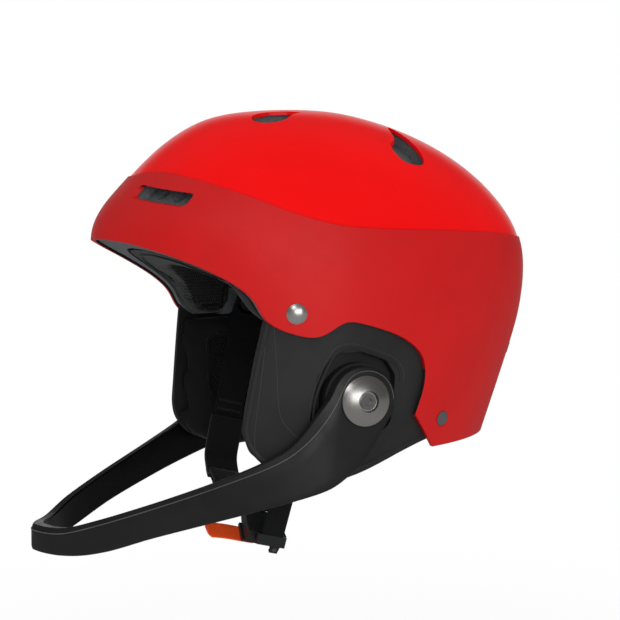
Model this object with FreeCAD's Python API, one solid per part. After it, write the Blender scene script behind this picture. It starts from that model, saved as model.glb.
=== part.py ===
import FreeCAD, Part
import math
import os

V = FreeCAD.Vector

# Ski racing helmet with a hard two-part shell, hard ear guards and a break-away chin guard.
# Millimetres. +X is the wearer's left, -Y is forwards, +Z is up.
# The origin is the middle of the head cavity, level with the front rivets.

# ---- Shell: half an egg above the equator, a tapering skirt below it ----
equator_z = 30.0
middle_y = -10.0
shell_half_width = 107.0
shell_front = 104.3
shell_rear = 156.9
shell_rise = 98.0
skirt_bottom = -118.0
front_roundness = 2.85
rear_roundness = 1.784
side_roundness = 2.3
visor_reach = 27.4
visor_z = 46.0
visor_spread = 42.3
side_taper = 0.12
rear_taper = 0.389
taper_start_z = 5.0
taper_softness = 20.0

# ---- Walls and gaps, measured inwards from the outer skin ----
band_wall = 3.2
crown_step = 1.0
layer_gap = 0.3
liner_side = 19.0
liner_front = 15.0
liner_rear = 34.0
liner_top = 25.0
slip_wall = 0.9
pad_thickness = 7.0
guard_wall = 3.0
edge_setback = 1.6
brow_edge_side = 9.0
brow_edge_front = 24.0
brow_edge_height = 4.5

# ---- Vents ----
vent_lip = 1.6
vent_pocket_depth = 7.0
vent_bore_radius = 4.5
slot_left_x = 28.0
slot_right_x = 68.0
slot_high_z = 73.8
slot_low_z = 67.2
slot_height = 7.8
slot_corner = 2.6
slot_front_y = -160.0
slot_back_y = -84.0

# ---- Rivets ----
front_rivet_y = -47.3
front_rivet_z = 3.1
front_rivet_radius = 5.9
front_rivet_rise = 2.0
rear_rivet_y = 51.0
rear_rivet_z = -62.2
rear_rivet_radius = 4.7
rear_rivet_rise = 0.5
rivet_shank_radius = 2.4
rivet_length = 6.6
shank_clearance = 0.1

# ---- Chin guard and its pivots ----
hub_y = -8.5
hub_z = -46.9
hub_inner_x = 99.0
hub_width = 8.0
hub_radius = 19.5
guard_thickness = 8.0
base_radius = 21.0
base_gap = 0.4
boss_radius = 10.0
boss_fit = 0.06
cap_radius = 14.5
cap_height = 5.6
cap_gap = 0.3
cap_recess_radius = 5.6
cap_recess_depth = 2.0
screw_head_radius = 4.6
screw_head_height = 1.6
screw_radius = 2.5
screw_socket_flats = 4.0
nut_flats = 9.0
nut_height = 4.0
recess_depth = 6.5
recess_wall = 2.2

# ---- Ear pads ----
ear_pad_top_x = 81.5
ear_pad_bottom_x = 68.0
ear_pad_top_z = -6.0
ear_pad_bottom_z = -98.0
ear_pocket_depth = 6.0

# ---- Chin strap and buckle ----
anchor_y = -15.0
anchor_z = 2.0
anchor_pin_radius = 2.5
anchor_pin_fit = 0.05
anchor_head_radius = 6.0
anchor_head_height = 1.4
anchor_liner_gap = 1.4
eyelet_radius = 9.0
strap_lean_deg = 14.0
strap_width = 20.0
strap_thickness = 1.8
strap_clearance = 2.8
strap_bend_radius = 14.0
strap_straight = 9.0
ring_drop = 107.0
ring_radius = 1.6
ring_fit = 0.05
latch_radius = 35.0
tongue_outer_deg = 7.0
housing_outer_deg = 17.0
tongue_inner_deg = 44.0
housing_inner_deg = 50.0
tongue_thickness = 2.4
tongue_clearance = 0.3
tongue_width = 14.0
buckle_wall = 2.2
buckle_width = 24.0
lever_pin_radius = 1.5
lever_pin_fit = 0.05
lever_gap = 0.5
lever_thickness = 2.0
tab_length = 30.0
tab_width = 12.0
tab_thickness = 1.6

# ---- Size adjuster at the nape ----
dial_y = 102.0
dial_z = -60.0
dial_radius = 12.0
dial_width = 8.0
dial_lobes = 18
lobe_depth = 0.8
axle_radius = 3.0
axle_fit = 0.05
axle_front_y = 81.5
bracket_wall = 2.4
bracket_half_width = 17.0
bracket_top_z = -43.0
cheek_gap = 0.4
cradle_middle_y = 20.0
cradle_half_width = 60.0
cradle_depth = 62.0
cradle_wall = 2.4
cradle_top_z = -10.0
cradle_bottom_z = -46.0
cradle_front_y = 44.0
nape_pad_thickness = 5.0
guide_x = 34.0
guide_z = -24.0
guide_radius = 3.0
guide_fit = 0.05
sleeve_wall = 1.6
sleeve_length = 24.0

# ---- Goggle clip at the back ----
clip_z = -27.0
clip_width = 22.0
clip_length = 25.0
clip_wall = 2.0
clip_lift = 1.2
clip_pin_radius = 1.4
clip_pin_fit = 0.05
clip_barrel_radius = 2.6
lug_width = 4.0
lug_gap = 0.3
groove_half_width = 38.0
groove_top_z = -33.0
groove_bottom_z = -49.0
groove_depth = 2.0


# ======== Outlines in plan and side view ========

def rounded_loop(points, radius, place):
    """Closed wire through points (a, b) with every corner rounded; place maps (a, b) to 3-D."""
    edges = []
    count = len(points)
    corners = []
    for i in range(count):
        a = V(*points[i - 1], 0)
        b = V(*points[i], 0)
        c = V(*points[(i + 1) % count], 0)
        corners.append(corner_arc(a, b, c, radius))
    for i in range(count):
        start, middle, end = corners[i]
        following = corners[(i + 1) % count][0]
        edges.append(Part.Arc(place(start), place(middle), place(end)).toShape())
        if end.distanceToPoint(following) > 0.001:
            edges.append(Part.makeLine(place(end), place(following)))
    return Part.Wire(edges)


def corner_arc(a, b, c, radius):
    """Start, middle and end of the arc that rounds corner b between a and c."""
    back = (a - b).normalize()
    ahead = (c - b).normalize()
    half = back.getAngle(ahead) / 2
    reach = min(radius / math.tan(half), 0.45 * (a - b).Length, 0.45 * (c - b).Length)
    fitted = reach * math.tan(half)
    inward = (back + ahead).normalize()
    middle = b + inward * (fitted / math.sin(half) - fitted)
    return b + back * reach, middle, b + ahead * reach


def side_place(point):
    return V(0, point.x, point.y)


def front_place(point):
    return V(point.x, 0, point.y)


def plan_place(point):
    return V(point.x, point.y, 0)


def prism(wire, start, length):
    """Solid from a flat loop, moved by start and swept along length."""
    face = Part.Face(wire)
    face.translate(start)
    return face.extrude(length)


def side_prism(points, radius, x_from, x_to):
    wire = rounded_loop(points, radius, side_place)
    return prism(wire, V(x_from, 0, 0), V(x_to - x_from, 0, 0))


def front_prism(points, radius, y_from, y_to):
    wire = rounded_loop(points, radius, front_place)
    return prism(wire, V(0, y_from, 0), V(0, y_to - y_from, 0))


def plan_prism(points, radius, z_from, z_to):
    wire = rounded_loop(points, radius, plan_place)
    return prism(wire, V(0, 0, z_from), V(0, 0, z_to - z_from))


def block(x_from, x_to, y_from, y_to, z_from, z_to):
    return Part.makeBox(x_to - x_from, y_to - y_from, z_to - z_from, V(x_from, y_from, z_from))


def rod(radius, start, direction, length):
    return Part.makeCylinder(radius, length, start, direction)


def mirrored(shape):
    return shape.mirror(V(0, 0, 0), V(1, 0, 0))


def both_sides(shape):
    return Part.makeCompound([shape, mirrored(shape)])


# ======== The egg that every layer follows ========

def softened_ramp(z, slope):
    """Zero above the taper's start, then growing with slope below it, without a kink."""
    below = taper_start_z - z
    return slope * (math.hypot(below, taper_softness) + below) / 2


def crown_share(z, rise, roundness):
    height = min(max((z - equator_z) / rise, 0.0), 1.0)
    return max(1 - height ** roundness, 0.0) ** (1 / roundness)


def half_axes(z, inset):
    """Front, rear and side half-axes of the egg's level section at z."""
    rise = shell_rise - inset["top"]
    visor = inset["visor"] * math.exp(-((z - visor_z) / visor_spread) ** 2)
    front = crown_share(z, rise, front_roundness) * (shell_front - inset["front"])
    front += crown_share(z, rise, 2.0) * visor
    rear = shell_rear - inset["rear"] - softened_ramp(z, rear_taper)
    side = shell_half_width - inset["side"] - softened_ramp(z, side_taper)
    rear *= crown_share(z, rise, rear_roundness)
    side *= crown_share(z, rise, side_roundness)
    return front, rear, side


def even(depth):
    """The same distance inwards everywhere, following the visor."""
    return dict(front=depth, rear=depth, side=depth, top=depth, visor=visor_reach)


def cavity(depth):
    """Distance inwards from the liner's inner face, which has no visor."""
    lining = band_wall + layer_gap + depth
    return dict(front=lining + liner_front, rear=lining + liner_rear, side=lining + liner_side,
                top=lining + liner_top, visor=0.0)


dome_cells = 24


def dome_point(across, along, inset):
    """Point of the egg for a square grid position between -1 and 1 each way."""
    p = across * math.sqrt(1 - along * along / 2)
    q = along * math.sqrt(1 - across * across / 2)
    rise = shell_rise - inset["top"]
    quarter = math.pi / 2
    path = quarter + (equator_z - skirt_bottom) / rise
    travelled = min(math.hypot(p, q), 1.0) * path
    if travelled < quarter:
        z = equator_z + rise * math.cos(travelled)
    else:
        z = equator_z - rise * (travelled - quarter)
    front, rear, side = half_axes(z, inset)
    turn = math.atan2(q, p)
    reach = rear if math.cos(turn) > 0 else front
    return V(side * math.sin(turn), middle_y + reach * math.cos(turn), z)


def dome(inset):
    """Closed solid of the egg, flat at the bottom."""
    steps = [2 * i / dome_cells - 1 for i in range(dome_cells + 1)]
    surface = Part.BSplineSurface()
    surface.interpolate([[dome_point(s, t, inset) for t in steps] for s in steps])
    skin = surface.toShape()
    floor = Part.Face(Part.Wire(Part.__sortEdges__(skin.Edges)))
    solid = Part.Solid(Part.Shell([skin, floor]))
    if solid.Volume < 0:
        solid.reverse()
    return solid


def layer(outer, inner):
    return dome(outer).cut(dome(inner))


def side_of_skin(y, z, depth):
    """X of the shell's skin, depth inwards, at a place in side view."""
    front, rear, side = half_axes(z, even(depth))
    reach = (y - middle_y) / (front if y < middle_y else rear)
    return side * math.sqrt(max(1 - reach * reach, 0.0))


def rear_of_skin(z, depth):
    return middle_y + half_axes(z, even(depth))[1]


def skin_normal(y, z):
    step = 0.5
    slope_y = (side_of_skin(y + step, z, 0) - side_of_skin(y - step, z, 0)) / (2 * step)
    slope_z = (side_of_skin(y, z + step, 0) - side_of_skin(y, z - step, 0)) / (2 * step)
    return V(1, -slope_y, -slope_z).normalize()


# ======== Edges of the shell, in side view ========

shell_edge = [(-131, 43.3), (-122, 40), (-106, 33.4), (-90, 25.6), (-77, 17.5), (-68.5, 8.8),
              (-63.4, 0), (-56, -5.6), (-46, -9.2), (-36, -10.4), (-29, -7.8), (-19, -2.2),
              (-8, -3.2), (10, -8.5), (24, -15.4), (33, -25), (35, -35), (32.6, -48.7)]
shell_ear_corner = (29.5, -58.0)
shell_rear_corner = (45.0, -79.0)
shell_rear_bottom_z = -74.0
visor_tip = (-146.0, 47.5)
split_line = [(-117, 84), (-108, 84.8), (-98, 81), (-84, 75), (-70, 69), (-55, 62.5), (-39, 57),
              (-20, 52.8), (0, 51.4), (28, 50.8), (68, 50.2), (98, 49.2), (120, 47.6)]
far = 200.0


def moved_aside(points, distance):
    """Points of an open path in side view, each moved to the left of the path by distance."""
    moved = []
    for i, (y, z) in enumerate(points):
        before = points[max(i - 1, 0)]
        after = points[min(i + 1, len(points) - 1)]
        along = V(after[0] - before[0], after[1] - before[1], 0).normalize()
        moved.append(V(0, y - along.y * distance, z + along.x * distance))
    return moved


def shell_region(setback):
    """Everything above the shell's lower edge in side view, moved up and inwards by setback."""
    ends = [shell_ear_corner, shell_rear_corner, (far, shell_rear_bottom_z)]
    path = moved_aside([visor_tip] + shell_edge + ends, setback)
    curved = path[1:1 + len(shell_edge)]
    curve = Part.BSplineCurve()
    curve.interpolate(curved)
    straight = path[len(shell_edge):] + [V(0, far, far), V(0, -far, far), V(0, -far, path[0].z), path[0],
                                         path[1]]
    edges = [curve.toShape()] + [Part.makeLine(p, q) for p, q in zip(straight, straight[1:])]
    return prism(Part.Wire(edges), V(-far, 0, 0), V(2 * far, 0, 0))


def crown_region():
    """Everything above the line where the crown meets the lower shell."""
    curve = Part.BSplineCurve()
    curve.interpolate([V(0, y, z) for y, z in split_line])
    first = V(0, *split_line[0])
    last = V(0, *split_line[-1])
    corners = [last, V(0, far, last.z), V(0, far, far), V(0, -far, far), V(0, -far, first.z), first]
    edges = [curve.toShape()] + [Part.makeLine(a, b) for a, b in zip(corners, corners[1:])]
    return prism(Part.Wire(edges), V(-far, 0, 0), V(2 * far, 0, 0))


# ======== Shell, liner and their holes ========

guard_outer = band_wall + layer_gap
guard_inner = guard_outer + guard_wall
recess_floor_outer = guard_outer + recess_depth
recess_floor_inner = recess_floor_outer + recess_wall

top_front_vent = [(38.5, -21), (31, -36), (35, -51), (43, -53.5), (51, -48), (52, -38), (44, -29)]
top_rear_vent = [(38.5, 38), (56, 31), (67, 28), (75, 22.5), (81.5, 25), (82.5, 33), (78.5, 42), (64, 43.5)]


def slot_outline(grow):
    """Drooping front vent slot, in front view."""
    half = slot_height / 2 + grow
    left = slot_left_x - grow
    right = slot_right_x + grow
    return [(left, slot_high_z - half), (left, slot_high_z + half),
            (right, slot_low_z + half), (right, slot_low_z - half)]


def tipped_loop(outline):
    """Smooth closed curve in plan with one sharp tip, at the outline's first point."""
    curve = Part.BSplineCurve()
    curve.interpolate([V(x, y, 0) for x, y in outline + outline[:1]])
    return Part.Wire(curve.toShape())


def grown_outline(outline, grow):
    """Outline with every point moved away from its middle by grow."""
    points = [V(x, y, 0) for x, y in outline]
    middle = V(0, 0, 0)
    for point in points:
        middle += point * (1 / len(points))
    moved = [point + (point - middle).normalize() * grow for point in points]
    return [(point.x, point.y) for point in moved]


def vent_cutters(grow):
    """The three left-hand vents, each outline grown by grow."""
    slot = front_prism(slot_outline(grow), slot_corner + grow, slot_front_y, slot_back_y)
    cutters = [slot]
    for outline in (top_front_vent, top_rear_vent):
        wire = tipped_loop(grown_outline(outline, grow))
        cutters.append(prism(wire, V(0, 0, equator_z + 40), V(0, 0, 100)))
    return Part.makeCompound(cutters)


def vent_bores():
    """Round holes that lead from each vent pocket through the liner to the head."""
    middle_z = (slot_high_z + slot_low_z) / 2
    places = [(slot_left_x + 9, middle_z + 1), (slot_right_x - 19, middle_z - 1)]
    bores = [rod(vent_bore_radius - 1.5, V(x, slot_front_y, z), V(0, 1, 0), 120) for x, z in places]
    for x, y in ((42.0, -42.0), (66.0, 34.0)):
        bores.append(rod(vent_bore_radius, V(x, y, equator_z + 10), V(0, 0, 1), 120))
    return Part.makeCompound(bores)


ear_guard_outline = [(-61, 9), (-65.5, -20), (-69.5, -50), (-71, -66), (-67, -78), (-55, -89), (-30, -96.5),
                     (-8, -92), (21, -80.5), (36, -75.5), (50, -72), (60, -66), (59, -52), (46, -40),
                     (45, -18), (33, -2), (10, 7), (-15, 12), (-50, 14)]
ear_guard_corner = 9.0
recess_outline = [(-37, -62), (-33, -33), (-24, -20), (-8, -19.5), (9, -25), (15.5, -34), (14, -62), (0, -74),
                  (-24, -74)]
recess_corner = 8.0


def grown_side_prism(outline, corner, grow, x_from, x_to):
    wire = rounded_loop(outline, corner, side_place)
    if grow:
        wire = wire.makeOffset2D(grow)
    return prism(wire, V(x_from, 0, 0), V(x_to - x_from, 0, 0))


def rivet_axis(y, z):
    """Point on the skin and the outward direction there."""
    return V(side_of_skin(y, z, 0), y, z), skin_normal(y, z)


def rivet_shank(y, z, grow):
    point, outward = rivet_axis(y, z)
    return rod(rivet_shank_radius + grow, point - outward * rivet_length, outward, rivet_length + 1)


def rivet(y, z, radius, rise):
    """Domed head standing rise above the skin, with its shank through shell and ear guard."""
    point, outward = rivet_axis(y, z)
    sphere_radius = (radius * radius + rise * rise) / (2 * rise)
    seat = point + outward * rivet_seat
    ball = Part.makeSphere(sphere_radius, seat - outward * (sphere_radius - rise))
    head = ball.common(rod(radius + 1, seat, outward, rise + 1))
    shank = rod(rivet_shank_radius, point - outward * rivet_length, outward, rivet_length + rivet_seat)
    return head.fuse(shank)


rivet_seat = 0.25
rivet_places = [(front_rivet_y, front_rivet_z), (rear_rivet_y, rear_rivet_z)]


def all_shank_holes():
    shanks = [rivet_shank(y, z, shank_clearance) for y, z in rivet_places]
    return both_sides(Part.makeCompound(shanks))


def rear_groove():
    """Shallow groove across the back that keeps a goggle strap in place."""
    band = layer(even(-1.0), even(groove_depth))
    return band.common(block(-groove_half_width, groove_half_width, middle_y, far,
                             groove_bottom_z, groove_top_z))


def make_lower_shell():
    shell = layer(even(0.0), even(band_wall)).common(shell_region(0.0))
    shell = shell.cut(crown_region()).cut(both_sides(vent_cutters(0.0)))
    shell = shell.cut(all_shank_holes()).cut(rear_groove())
    return shell.cut(in_clip_place(clip_pocket()))


def make_crown_shell():
    shell = layer(even(crown_step), even(band_wall)).common(crown_region())
    return shell.cut(both_sides(vent_cutters(0.0)))


def make_liner():
    liner = layer(even(band_wall + layer_gap), cavity(0.0)).common(shell_region(edge_setback))
    pockets = both_sides(vent_cutters(vent_lip))
    floor = dome(even(band_wall + layer_gap + vent_pocket_depth))
    liner = liner.cut(pockets.cut(floor)).cut(both_sides(vent_bores()))
    guard_room = grown_side_prism(ear_guard_outline, ear_guard_corner, layer_gap, 0, far)
    guard_room = guard_room.common(layer(even(0.0), even(guard_inner + layer_gap)))
    liner = liner.cut(both_sides(guard_room)).cut(all_shank_holes()).cut(brow_edge_room())
    liner = liner.cut(both_sides(ear_space())).cut(nape_space()).cut(anchor_studs(stud_fit))
    return liner.cut(both_sides(anchor_hole())).cut(both_sides(sleeve_hole()))


def ear_space():
    """Room for the ear pad between the liner and the chin strap."""
    outline = [(-90, ear_pad_top_z + layer_gap), (60, ear_pad_top_z + layer_gap), (60, -130), (-90, -130)]
    return side_prism(outline, 4.0, 40, far)


def nape_space():
    """Room under the liner for the size adjuster."""
    return block(-bracket_half_width - 1, bracket_half_width + 1, 60, far, skirt_bottom, bracket_top_z)


# ======== Slip layer and comfort pads ========

def pad_body(plan_or_side):
    """Soft pad of even thickness that follows the slip layer inside a region."""
    outer = cavity(slip_wall + 2 * layer_gap)
    inner = cavity(slip_wall + 2 * layer_gap + pad_thickness)
    return layer(outer, inner).common(plan_or_side)


brow_zone = [(-150, 58), (-150, -9), (-39, -9), (-31.5, 0), (-26.5, 11), (-30, 30), (-46, 46), (-70, 58)]
brow_zone_corner = 4.0


def brow_edge_limit(gap):
    """Egg outside which the liner's foam shows beside the brow pad's edge."""
    limit = even(brow_edge_side - gap)
    limit["visor"] = visor_reach - (brow_edge_front - brow_edge_side)
    return limit


def brow_edge_room():
    """Step under the liner's front edge that the brow pad wraps round."""
    room = dome(brow_edge_limit(layer_gap))
    room = room.common(grown_side_prism(brow_zone, brow_zone_corner, layer_gap, -far, far))
    return room.cut(shell_region(edge_setback + brow_edge_height + layer_gap))


def make_slip_layer():
    sheet = layer(cavity(layer_gap), cavity(layer_gap + slip_wall))
    sheet = sheet.common(shell_region(edge_setback + brow_edge_height + layer_gap))
    above = [(-160, 24), (-105, 24), (-60, 12), (50, 12), (95, -18), (160, -18), (160, 160), (-160, 160)]
    sheet = sheet.common(side_prism(above, 8.0, -far, far))
    sheet = sheet.cut(both_sides(vent_bores())).cut(anchor_studs(stud_fit))
    side_window = [(-40, 60), (-10, 68), (25, 62), (30, 46), (-40, 46)]
    return sheet.cut(side_prism(side_window, 6.0, -far, far))


anchor_stud_radius = 4.0
anchor_stud_depth = 3.0
stud_fit = 0.05
anchor_stud_places = [(50.0, -32.0), (50.0, 46.0)]


def anchor_studs(grow):
    studs = [rod(anchor_stud_radius + grow, V(x, y, equator_z), V(0, 0, 1), far) for x, y in anchor_stud_places]
    region = layer(cavity(-anchor_stud_depth - grow), cavity(layer_gap + slip_wall))
    return both_sides(Part.makeCompound(studs)).common(region)


def make_slip_anchors():
    """Small elastic studs that tie the slip layer to the liner."""
    return anchor_studs(0.0)


def make_brow_pad():
    """Band round the forehead and temples, whose lower edge wraps under the liner."""
    zone = grown_side_prism(brow_zone, brow_zone_corner, 0, -far, far).common(shell_region(edge_setback))
    inner = dome(cavity(slip_wall + 2 * layer_gap + pad_thickness))
    edge = dome(brow_edge_limit(0.0)).cut(shell_region(edge_setback + brow_edge_height))
    backed = dome(cavity(slip_wall + 2 * layer_gap)).fuse(edge)
    above_ears = block(-far, far, -far, far, ear_pad_top_z + 2 * layer_gap, far)
    return backed.cut(inner).common(zone).common(above_ears)


def make_crown_pad():
    bars = plan_prism([(-13, -58), (13, -58), (13, 62), (-13, 62)], 10.0, 60, 140)
    cross = plan_prism([(-48, -8), (48, -8), (48, 14), (-48, 14)], 10.0, 60, 140)
    return pad_body(bars.fuse(cross))


def make_side_pad():
    shape = [(-24, 18), (44, 18), (50, 30), (44, 42), (-20, 42), (-28, 30)]
    return pad_body(side_prism(shape, 6.0, 10, far))


def make_rear_pad():
    shape = [(-44, 8), (44, 8), (50, 24), (44, 46), (-44, 46), (-50, 24)]
    return pad_body(front_prism(shape, 8.0, 40, far))


# ======== Ear guards and ear pads ========

def make_ear_guard():
    plate = layer(even(guard_outer), even(guard_inner))
    plate = plate.common(grown_side_prism(ear_guard_outline, ear_guard_corner, 0, 0, far))
    opening = grown_side_prism(recess_outline, recess_corner, 0, 0, far)
    plate = plate.cut(opening)
    tray = layer(even(guard_outer), even(recess_floor_inner))
    tray = tray.common(grown_side_prism(recess_outline, recess_corner, recess_wall, 0, far))
    hollow = layer(even(0.0), even(recess_floor_outer)).common(opening)
    guard = plate.fuse(tray.cut(hollow))
    for y, z in rivet_places:
        guard = guard.cut(rivet_shank(y, z, shank_clearance))
    return guard.cut(hub_rod(screw_radius + shank_clearance, 60, far))


def hub_rod(radius, x_from, x_to):
    return rod(radius, V(x_from, hub_y, hub_z), V(1, 0, 0), x_to - x_from)


def ear_pad_face_x(z):
    """X of the pad's inner face, which leans inwards towards the jaw."""
    share = (ear_pad_top_z - z) / (ear_pad_top_z - ear_pad_bottom_z)
    return ear_pad_top_x + share * (ear_pad_bottom_x - ear_pad_top_x)


ear_pad_outline = [(-66, -7), (-69, -25), (-72.5, -50), (-73.5, -66), (-69, -79), (-58, -89.5), (-30, -97.5),
                   (-8, -94), (18, -83), (34, -76), (40, -60), (36, -30), (24, -7)]
ear_pocket_outline = [(-46, -17), (8, -17), (8, -66), (-46, -66)]


def pad_slab(depth, z_top, z_bottom):
    """Everything outside the leaning inner face moved outwards by depth."""
    corners = [(ear_pad_face_x(z_top) + depth, z_top), (ear_pad_face_x(z_bottom) + depth, z_bottom),
               (far, z_bottom), (far, z_top)]
    wire = Part.makePolygon([V(x, 0, z) for x, z in corners + corners[:1]])
    return prism(wire, V(0, -far, 0), V(0, 2 * far, 0))


def make_ear_pad():
    body = dome(even(guard_inner + layer_gap)).common(pad_slab(0, 10, -110))
    body = body.common(grown_side_prism(ear_pad_outline, 7.0, 0, 0, far))
    room = grown_side_prism(recess_outline, recess_corner, recess_wall + layer_gap, 0, far)
    room = room.common(layer(even(0.0), even(recess_floor_inner + layer_gap)))
    body = body.cut(room).cut(hub_rod(nut_flats, 74, far))
    pocket = grown_side_prism(ear_pocket_outline, 8.0, 0, 0, far)
    pocket = pocket.cut(pad_slab(ear_pocket_depth, 60, -130))
    return body.cut(pocket)


# ======== Chin guard and its pivots ========

boss_end_x = hub_inner_x + hub_width + cap_gap
base_outer_x = hub_inner_x - base_gap


def recess_floor_x():
    return side_of_skin(hub_y, hub_z, recess_floor_outer)


def make_pivot_base():
    """Disc bolted to the recess floor, with the boss that the chin guard turns on."""
    disc = hub_rod(base_radius, 60, base_outer_x).common(side_slab_outside(recess_floor_outer))
    rim = hub_rod(base_radius, base_outer_x - 3, base_outer_x)
    boss = hub_rod(boss_radius, base_outer_x - 2, boss_end_x)
    base = disc.fuse(rim).fuse(boss)
    return base.cut(hub_rod(screw_radius + shank_clearance, 60, far))


def side_slab_outside(depth):
    """Block at the wearer's left with the egg, moved inwards by depth, taken out of it."""
    return block(20, far, -80, 70, skirt_bottom + 2, 40).cut(dome(even(depth)))


guard_profile = [(-40, -60), (-47, -70.5), (-64, -81), (-90, -92.8), (-150, -117.2), (-168, -125), (-190, -127.5),
                 (-190, -139.5), (-168, -141.2), (-150, -136.8), (-120, -125.4), (-80, -112.6), (-52, -104.2),
                 (-28, -96.8), (-10, -82)]
guard_plan_points = [(-5.5, -50), (-15, -72), (-30, -100), (-47, -128), (-66, -153), (-87, -170)]
guard_nose_y = -180.0


def guard_plan_prism(inwards, nose_inwards):
    """U of the chin guard in plan: straight past the pivots, then curving in to the nose."""
    width = hub_inner_x + hub_width
    straight_y = hub_y - base_radius - 3.5
    side = [V(width - inwards, straight_y, 0)] + [V(width + x - inwards, y, 0) for x, y in guard_plan_points]
    nose = V(0, guard_nose_y + nose_inwards, 0)
    points = side + [nose] + [V(-p.x, p.y, 0) for p in reversed(side)]
    curve = Part.BSplineCurve()
    free_ends = [False] * (len(points) - 2)
    curve.interpolate(Points=points, Tangents=[V(0, -1, 0)] + [V(1, 0, 0)] * len(free_ends) + [V(0, 1, 0)],
                      TangentFlags=[True] + free_ends + [True])
    back = hub_y + hub_radius + 12
    left = V(points[0].x, back, 0)
    right = V(points[-1].x, back, 0)
    edges = [curve.toShape(), Part.makeLine(points[-1], right), Part.makeLine(right, left),
             Part.makeLine(left, points[0])]
    return prism(Part.Wire(edges), V(0, 0, -far), V(0, 0, 2 * far))


def guard_side_prism():
    """Arms in side view, running into the round hub."""
    arm = grown_side_prism(guard_profile, 16.0, 0, -far, far)
    neck = side_prism([(hub_y - hub_radius - 1, hub_z + 3), (-36, -54), (-47, -71), (-52, -104), (-28, -97),
                       (-8, -81.5), (hub_y + 16.5, hub_z - 10.2), (hub_y, hub_z)], 2.0, -far, far)
    hub = rod(hub_radius, V(-far, hub_y, hub_z), V(1, 0, 0), 2 * far)
    return arm.fuse(neck).fuse(hub)


def make_chin_guard():
    bow = guard_plan_prism(0.0, 0.0).cut(guard_plan_prism(hub_width, guard_thickness))
    guard = bow.common(guard_side_prism())
    return guard.cut(rod(boss_radius + boss_fit, V(-far, hub_y, hub_z), V(1, 0, 0), 2 * far))


def make_pivot_cap():
    """Shallow dome over the hub, with a recess for the screw."""
    start = boss_end_x
    profile = Part.BSplineCurve()
    rise = cap_height
    profile.interpolate([V(start + 1.6, cap_radius, 0), V(start + 0.72 * rise, 0.72 * cap_radius, 0),
                         V(start + rise, cap_recess_radius + 0.6, 0)])
    floor_x = start + rise - cap_recess_depth
    corners = [V(start + rise, cap_recess_radius + 0.6, 0), V(floor_x, cap_recess_radius, 0),
               V(floor_x, screw_radius + shank_clearance, 0), V(start, screw_radius + shank_clearance, 0),
               V(start, cap_radius, 0), V(start + 1.6, cap_radius, 0)]
    edges = [profile.toShape()] + [Part.makeLine(a, b) for a, b in zip(corners, corners[1:])]
    cap = Part.Face(Part.Wire(edges)).revolve(V(0, 0, 0), V(1, 0, 0), 360)
    cap.translate(V(0, hub_y, hub_z))
    return cap


def hexagon(flats, x_from, x_to):
    corner = flats / math.sqrt(3)
    points = [V(x_from, hub_y + corner * math.cos(math.pi * i / 3), hub_z + corner * math.sin(math.pi * i / 3))
              for i in range(7)]
    return Part.Face(Part.makePolygon(points)).extrude(V(x_to - x_from, 0, 0))


def nut_outer_x():
    return side_of_skin(hub_y, hub_z, recess_floor_inner) - 1.2


def make_pivot_screw():
    head_x = boss_end_x + cap_height - cap_recess_depth
    head = hub_rod(screw_head_radius, head_x, head_x + screw_head_height)
    head = head.cut(hexagon(screw_socket_flats, head_x + 0.4, head_x + 5))
    return head.fuse(hub_rod(screw_radius, nut_outer_x() - nut_height, head_x + 0.3))


def make_pivot_nut():
    """Flanged nut against the back of the recess floor."""
    outer = nut_outer_x()
    flange = hub_rod(nut_flats * 0.8, outer - 1, outer + 6).cut(side_slab_outside(recess_floor_inner))
    nut = hexagon(nut_flats, outer - nut_height, outer).fuse(flange)
    return nut.cut(hub_rod(screw_radius + shank_clearance / 2, 60, far))


# ======== Chin strap ========

def leaned(shape):
    """Strap pieces are built hanging straight down, then swung forwards about the anchors."""
    turned = shape.copy()
    turned.rotate(V(0, anchor_y, anchor_z), V(1, 0, 0), -strap_lean_deg)
    return turned


strap_slope = (ear_pad_top_x - ear_pad_bottom_x) / (ear_pad_top_z - ear_pad_bottom_z)
anchor_x = ear_pad_face_x(anchor_z) - strap_clearance - strap_thickness / 2
ring_x = anchor_x - strap_slope * ring_drop
ring_z = anchor_z - ring_drop


def ribbon(points, bend, thickness, width):
    """Flat strap along an open path in front view, centred on the anchors' plane."""
    edges = []
    start = V(points[0][0], 0, points[0][1])
    for i in range(1, len(points) - 1):
        a, b, c = [V(*points[k], 0) for k in (i - 1, i, i + 1)]
        arc = [front_place(p) for p in corner_arc(a, b, c, bend)]
        edges.append(Part.makeLine(start, arc[0]))
        edges.append(Part.Arc(*arc).toShape())
        start = arc[2]
    edges.append(Part.makeLine(start, V(points[-1][0], 0, points[-1][1])))
    if len(points) == 2:
        outline = straight_outline(points, thickness)
    else:
        outline = Part.Wire(edges).makeOffset2D(thickness / 2, join=0, openResult=False)
    return prism(outline, V(0, anchor_y - width / 2, 0), V(0, width, 0))


def straight_outline(points, thickness):
    a, b = [V(x, 0, z) for x, z in points]
    along = (b - a).normalize()
    across = V(along.z, 0, -along.x) * (thickness / 2)
    return Part.makePolygon([a + across, b + across, b - across, a - across, a + across])


def anchor_rod(radius, x_from, x_to):
    return rod(radius, V(x_from, anchor_y, anchor_z), V(1, 0, 0), x_to - x_from)


def anchor_hole():
    return anchor_rod(anchor_pin_radius + shank_clearance, 60, far)


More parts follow.
